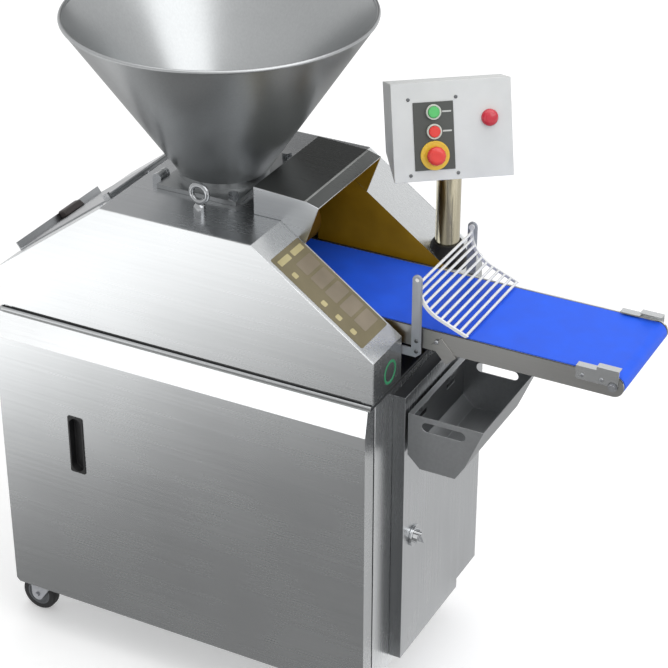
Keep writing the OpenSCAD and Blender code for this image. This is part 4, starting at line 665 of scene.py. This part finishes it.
lowWall, highWall = [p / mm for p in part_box("housing_front")]
lowDeck, highDeck = [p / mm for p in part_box("deck_plate")]
halfRound = [math.radians(180 + 180 * i / 8) for i in range(9)]
seals = {  # ends along X, front, depth, lower and upper height, finish
    # the seam bead's dark grey is painted shade of the gap between housing and deck
    "seamBead": (lowWall.x + 26.1, highWall.x - 26.1, lowWall.y + 0.3, 1.4,
                 highDeck.z + 0.05, highDeck.z + 2.95, seamShade),
    "doorSeal": (lowDeck.x + 4, highDeck.x - 4, lowDeck.y + 0.6, 7.0,
                 lowDeck.z - 4.5, lowDeck.z - 0.02, sealGrey),
}
along = Matrix(((0, 0, 1, 0), (1, 0, 0, 0), (0, 1, 0, 0), (0, 0, 0, 1)))  # profile in Y and Z, drawn along X
for name, (xa, xb, front, deep, za, zb, material) in seals.items():
    middle, half = (za + zb) / 2, (zb - za) / 2
    bulge = [(front + half * 0.5 * (1 + math.sin(a)), middle - half * math.cos(a)) for a in halfRound]
    profile = bulge + [(front + deep, zb), (front + deep, za)]
    fitted(name, solid(name, lofted([(profile, xa), (profile, xb)]), along), "body", "dark_plastic", material)
print("pull rim and seals done")

eyeBolt = {"shank": [(0, 0), (12, 0), (12, 17), (11, 19.5), (8, 23), (5, 25), (0, 25.5)],
           "ring": 17.5, "bar": 5.6, "middle": 44.5}
lowEye, highEye = [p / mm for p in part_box("lifting_eye")]
eyeFrame = Matrix.Translation(((lowEye.x + highEye.x) / 2, (lowEye.y + highEye.y) / 2, lowEye.z))
ringLine = [2 * math.pi * i / 16 for i in range(16)]
ringProfile = [(eyeBolt["ring"] + eyeBolt["bar"] * math.cos(a), eyeBolt["bar"] * math.sin(a))
               for a in ringLine]
eyeForm = turned(eyeBolt["shank"], 40)
ringForm = turned(ringProfile, 48)
ringForm.transform(Matrix.Translation((0, 0, eyeBolt["middle"])) @ Matrix.Rotation(math.pi / 2, 4, "X"))
ringMesh = bpy.data.meshes.new("ring")
ringForm.to_mesh(ringMesh)
ringForm.free()
eyeForm.from_mesh(ringMesh)
eye = fitted("lifting_eye.bolt", solid("eyeBolt", eyeForm, eyeFrame),
             bodyOf["lifting_eye"], slotOf["lifting_eye"], chrome)
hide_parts("lifting_eye")
print("lifting eye done")

castor = {
    "trail": 36, "radius": 42,
    "tyre": [(28.5, -12.2), (36.5, -12.5), (39.5, -11.6), (41.3, -9.2), (41.95, -6.2),
             (41.95, 6.2), (41.3, 9.2), (39.5, 11.6), (36.5, 12.5), (28.5, 12.2)],
    "hub": [(5.1, -13.4), (10, -13.4), (11, -12.6), (12.5, -9.5), (21, -8.2), (24, -9.4), (25.5, -11.6),
            (28.6, -11.8), (28.6, 11.8), (25.5, 11.6), (24, 9.4), (21, 8.2), (12.5, 9.5), (11, 12.6),
            (10, 13.4), (5.1, 13.4)],
}
for corner in corners:
    node = "castor_wheel_" + corner
    x, y = castorSpots["x"][corner[1] == "r"], castorSpots["y"][corner[0] == "b"]
    axle = Matrix.Translation((x - castor["trail"], y, castor["radius"]))
    hubFrame = axle @ Matrix.Rotation(math.pi / 2, 4, "X")
    tyreMesh = solid(node, turned(castor["tyre"], 64), hubFrame)
    tyre = fitted(node + ".tyre", tyreMesh, bodyOf[node], slotOf[node], blackRubber)
    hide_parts(node)
    hubMesh = solid(node, turned(castor["hub"], 48), hubFrame, crease=50)
    fitted(node + ".hub", hubMesh, bodyOf[node], "dark_plastic", hubGrey)
print("castors done")

nearSlope = {"run": 260, "rise": 187, "foot": (227.5, 901)}  # slope towards the outlet, in mm
slopeLong = math.hypot(nearSlope["run"], nearSlope["rise"])
rise, fall = nearSlope["rise"] / slopeLong, nearSlope["run"] / slopeLong
slopeFrame = Matrix((  # X up the slope, Z out of it
    (-fall, 0, rise, nearSlope["foot"][0]),
    (0, -1, 0, 0),
    (rise, 0, fall, nearSlope["foot"][1]),
    (0, 0, 0, 1),
))
slopeWay = slopeFrame.to_3x3() @ Vector((0, 0, 1))
blankPlate = {"middle": (155, 187), "size": (239, 106, 0.8, 4), "soft": 0.25, "lift": 0.02,
              "field": 0.8}  # film without words or signs
filmFrame = slopeFrame @ Matrix.Translation((*blankPlate["middle"], blankPlate["lift"]))
filmMesh = solid("slopeFilm", slab(*blankPlate["size"], soft=blankPlate["soft"]), filmFrame)
fitted("slopeFilm", filmMesh, "body", "grey_paint", filmOlive)
filmFields = {  # size and places of the plain fields
    "paleBars": ((13, 40, 0.2, 2), filmPale, [(257, 162), (257, 211)]),
    "tanFields": ((31, 54, 0.2, 3), filmTan, [(222, 170), (184, 170), (146, 170), (108, 170), (70, 170)]),
    "paleSquares": ((13, 13, 0.2, 3), filmPale, [(222, 222), (146, 222), (108, 222), (70, 222)]),
}
for name, (size, material, places) in filmFields.items():
    spots = [(slopeFrame @ Vector((u, v, blankPlate["field"])), slopeWay) for u, v in places]
    inRows(name, spots, solid(name, slab(*size)), material, "body", "grey_paint", spin=0)
greenRing = {"at": (227.5, -178, 847),
             "profile": [(19.5, 0.02), (25, 0.02), (25, 0.4), (24.6, 0.5), (19.9, 0.5), (19.5, 0.4)]}
stickFrame = Matrix.Translation(greenRing["at"]) @ Matrix.Rotation(math.pi / 2, 4, "Y")
stickMesh = solid("greenRing", turned(greenRing["profile"], 64), stickFrame)
fitted("greenRing", stickMesh, "body", "green_plastic", filmGreen)
print("plain film and ring done")

photo = {"azimuth": 27.65, "elevation": 29.77, "target": (0.0189, -0.0100, 0.7897), "distance": 4.153,
         "lens": 110.70}


def aim(thing, point):
    thing.rotation_euler = (Vector(point) - thing.location).to_track_quat("-Z", "Y").to_euler()


def setCamera():
    camera = linked("camera", bpy.data.cameras.new("camera"))
    a, e = math.radians(photo["azimuth"]), math.radians(photo["elevation"])
    back = Vector((math.sin(a) * math.cos(e), -math.cos(a) * math.cos(e), math.sin(e)))
    camera.location = Vector(photo["target"]) + back * photo["distance"]
    aim(camera, photo["target"])
    camera.data.sensor_fit = "HORIZONTAL"
    camera.data.sensor_width = 36
    camera.data.lens = photo["lens"]
    camera.data.clip_end = 100
    bpy.context.scene.camera = camera


def shownRays(tree):  # 1 for rays from the eye, off metal and through glass
    path = addNode(tree, "ShaderNodeLightPath")
    seen = addNode(tree, "ShaderNodeMath", {"operation": "MAXIMUM"},
                   {0: path.outputs["Is Camera Ray"], 1: path.outputs["Is Glossy Ray"]})
    most = addNode(tree, "ShaderNodeMath", {"operation": "MAXIMUM"},
                   {0: seen.outputs[0], 1: path.outputs["Is Transmission Ray"]})
    return most.outputs[0]


floorLook = {"half": 14.0, "paint": "#f6f6f6", "near": 2.0, "far": 9.0, "lift": (0.24, 0.7)}  # metres, light


def setFloor():
    r = floorLook["half"]
    mesh = bpy.data.meshes.new("studioFloor")
    mesh.from_pydata([(-r, -r, 0), (r, -r, 0), (r, r, 0), (-r, r, 0)], [], [(0, 1, 2, 3)])
    floor = linked("studioFloor", mesh)
    material, tree, shader, place = startMaterial("paintedStudioFloor")
    grain = addNode(tree, "ShaderNodeTexNoise", {"Scale": 3.0}, {"Vector": place})
    gloss = addNode(tree, "ShaderNodeMapRange", {"To Min": 0.7, "To Max": 0.8}, {"Value": grain.outputs[0]})
    away = addNode(tree, "ShaderNodeVectorMath", {"operation": "LENGTH"}, {0: place})
    low, high = floorLook["lift"]
    paler = addNode(tree, "ShaderNodeMapRange", {"From Min": floorLook["near"], "From Max": floorLook["far"],
                                                 "To Min": low, "To Max": high},
                    {"Value": away.outputs["Value"]})
    lift = addNode(tree, "ShaderNodeMath", {"operation": "MULTIPLY"},
                   {0: shownRays(tree), 1: paler.outputs[0]})
    tree.links.new(gloss.outputs[0], shader.inputs["Roughness"])
    tree.links.new(lift.outputs[0], shader.inputs["Emission Strength"])
    shader.inputs["Base Color"].default_value = linear(floorLook["paint"])
    shader.inputs["Emission Color"].default_value = (1, 1, 1, 1)
    shader.inputs["Specular IOR Level"].default_value = 0.1
    mesh.materials.append(material)


cards = {  # cards that only the metal mirrors: corners, tone along a way, share of it left past its end
    "frontCard": {
        "corners": [(-6.0, -7.0, 0.002), (3.2, -7.0, 0.002), (3.2, -0.29, 0.002), (-6.0, -0.29, 0.002)],
        "way": (-0.9, -0.435, 0), "span": (0.55, 2.0), "tone": (0.28, 2.25), "power": 2.5, "left": 0.42},
    "backCard": {
        "corners": [(-2.4, 1.6, 1.15), (-0.3, 1.6, 1.15), (-0.3, 1.6, 3.4), (-2.4, 1.6, 3.4)],
        "way": (-1, 0, 0), "span": (0.9, 1.4), "tone": (0.24, 0.64), "power": 1.0, "left": 1.0},
    "sideCard": {
        "corners": [(0.3, -0.25, 0.002), (2.6, -0.25, 0.002), (2.6, 2.6, 0.002), (0.3, 2.6, 0.002)],
        "way": (-1, 0, 0), "span": (-2.6, 0.0), "tone": (0.6, 0.66), "power": 1.0, "left": 1.0},
    "rearCard": {
        "corners": [(-3.0, 0.32, 0.002), (0.3, 0.32, 0.002), (0.3, 4.0, 0.002), (-3.0, 4.0, 0.002)],
        "way": (-1, 0, 0), "span": (-0.3, 3.0), "tone": (0.42, 0.6), "power": 1.0, "left": 1.0},
}
cardEnd = (0.2, 0.9)  # where the tone falls past the end of its span, in metres


def setCards():
    for name, look in cards.items():
        mesh = bpy.data.meshes.new(name)
        mesh.from_pydata(look["corners"], [], [(0, 1, 2, 3)])
        card = linked(name, mesh)
        card.visible_camera = card.visible_diffuse = card.visible_shadow = card.visible_transmission = False
        material, tree, shader, place = startMaterial(name + "Cloth")
        (start, end), (low, high) = look["span"], look["tone"]
        along = addNode(tree, "ShaderNodeVectorMath", {"operation": "DOT_PRODUCT", 1: look["way"]},
                        {0: place})
        reached = {"Value": along.outputs["Value"]}
        share = addNode(tree, "ShaderNodeMapRange", {"From Min": start, "From Max": end}, reached)
        curve = addNode(tree, "ShaderNodeMath", {"operation": "POWER", 1: look["power"]},
                        {0: share.outputs[0]})
        tone = addNode(tree, "ShaderNodeMapRange", {"To Min": low, "To Max": high},
                       {"Value": curve.outputs[0]})
        falloff = addNode(tree, "ShaderNodeMapRange", {
            "From Min": end + cardEnd[0], "From Max": end + cardEnd[1], "To Min": 1.0, "To Max": look["left"],
        }, reached)
        glow = addNode(tree, "ShaderNodeMath", {"operation": "MULTIPLY"},
                       {0: tone.outputs[0], 1: falloff.outputs[0]})
        tree.links.new(glow.outputs[0], shader.inputs["Emission Strength"])
        shader.inputs["Emission Color"].default_value = (1, 1, 1, 1)
        shader.inputs["Base Color"].default_value = (0, 0, 0, 1)
        shader.inputs["Specular IOR Level"].default_value = 0
        material.cycles.emission_sampling = "NONE"
        mesh.materials.append(material)


lamps = {  # place, size in metres, power in watts
    "keySoftbox": ((5.5, -1.4, 6.0), 6.0, 200), "fillSoftbox": ((0.6, -6.2, 3.4), 5.0, 60),
    "topSoftbox": ((0.2, 0.6, 6.0), 6.0, 130),
}
lampTarget = (0, 0, 0.7)
skyGlow = {"To Min": 0.55, "To Max": 1.0}  # on the object, and as the eye and the metal see it


def setLight():
    world = bpy.data.worlds.new("studioWorld")
    bpy.context.scene.world = world
    world.use_nodes = True
    tree = world.node_tree
    tree.nodes.clear()
    strength = addNode(tree, "ShaderNodeMapRange", skyGlow, {"Value": shownRays(tree)})
    back = addNode(tree, "ShaderNodeBackground", {"Color": (1, 1, 1, 1)}, {"Strength": strength.outputs[0]})
    addNode(tree, "ShaderNodeOutputWorld", None, {0: back.outputs[0]})
    for name, (place, size, power) in lamps.items():
        lamp = linked(name, bpy.data.lights.new(name, "AREA"))
        lamp.location = place
        lamp.data.size = size
        lamp.data.energy = power
        aim(lamp, lampTarget)
        lamp.visible_glossy = name != "fillSoftbox"


setCamera()
setFloor()
setCards()
setLight()
bpy.context.scene.view_settings.view_transform = "Standard"
print("camera, floor, cards and light set")
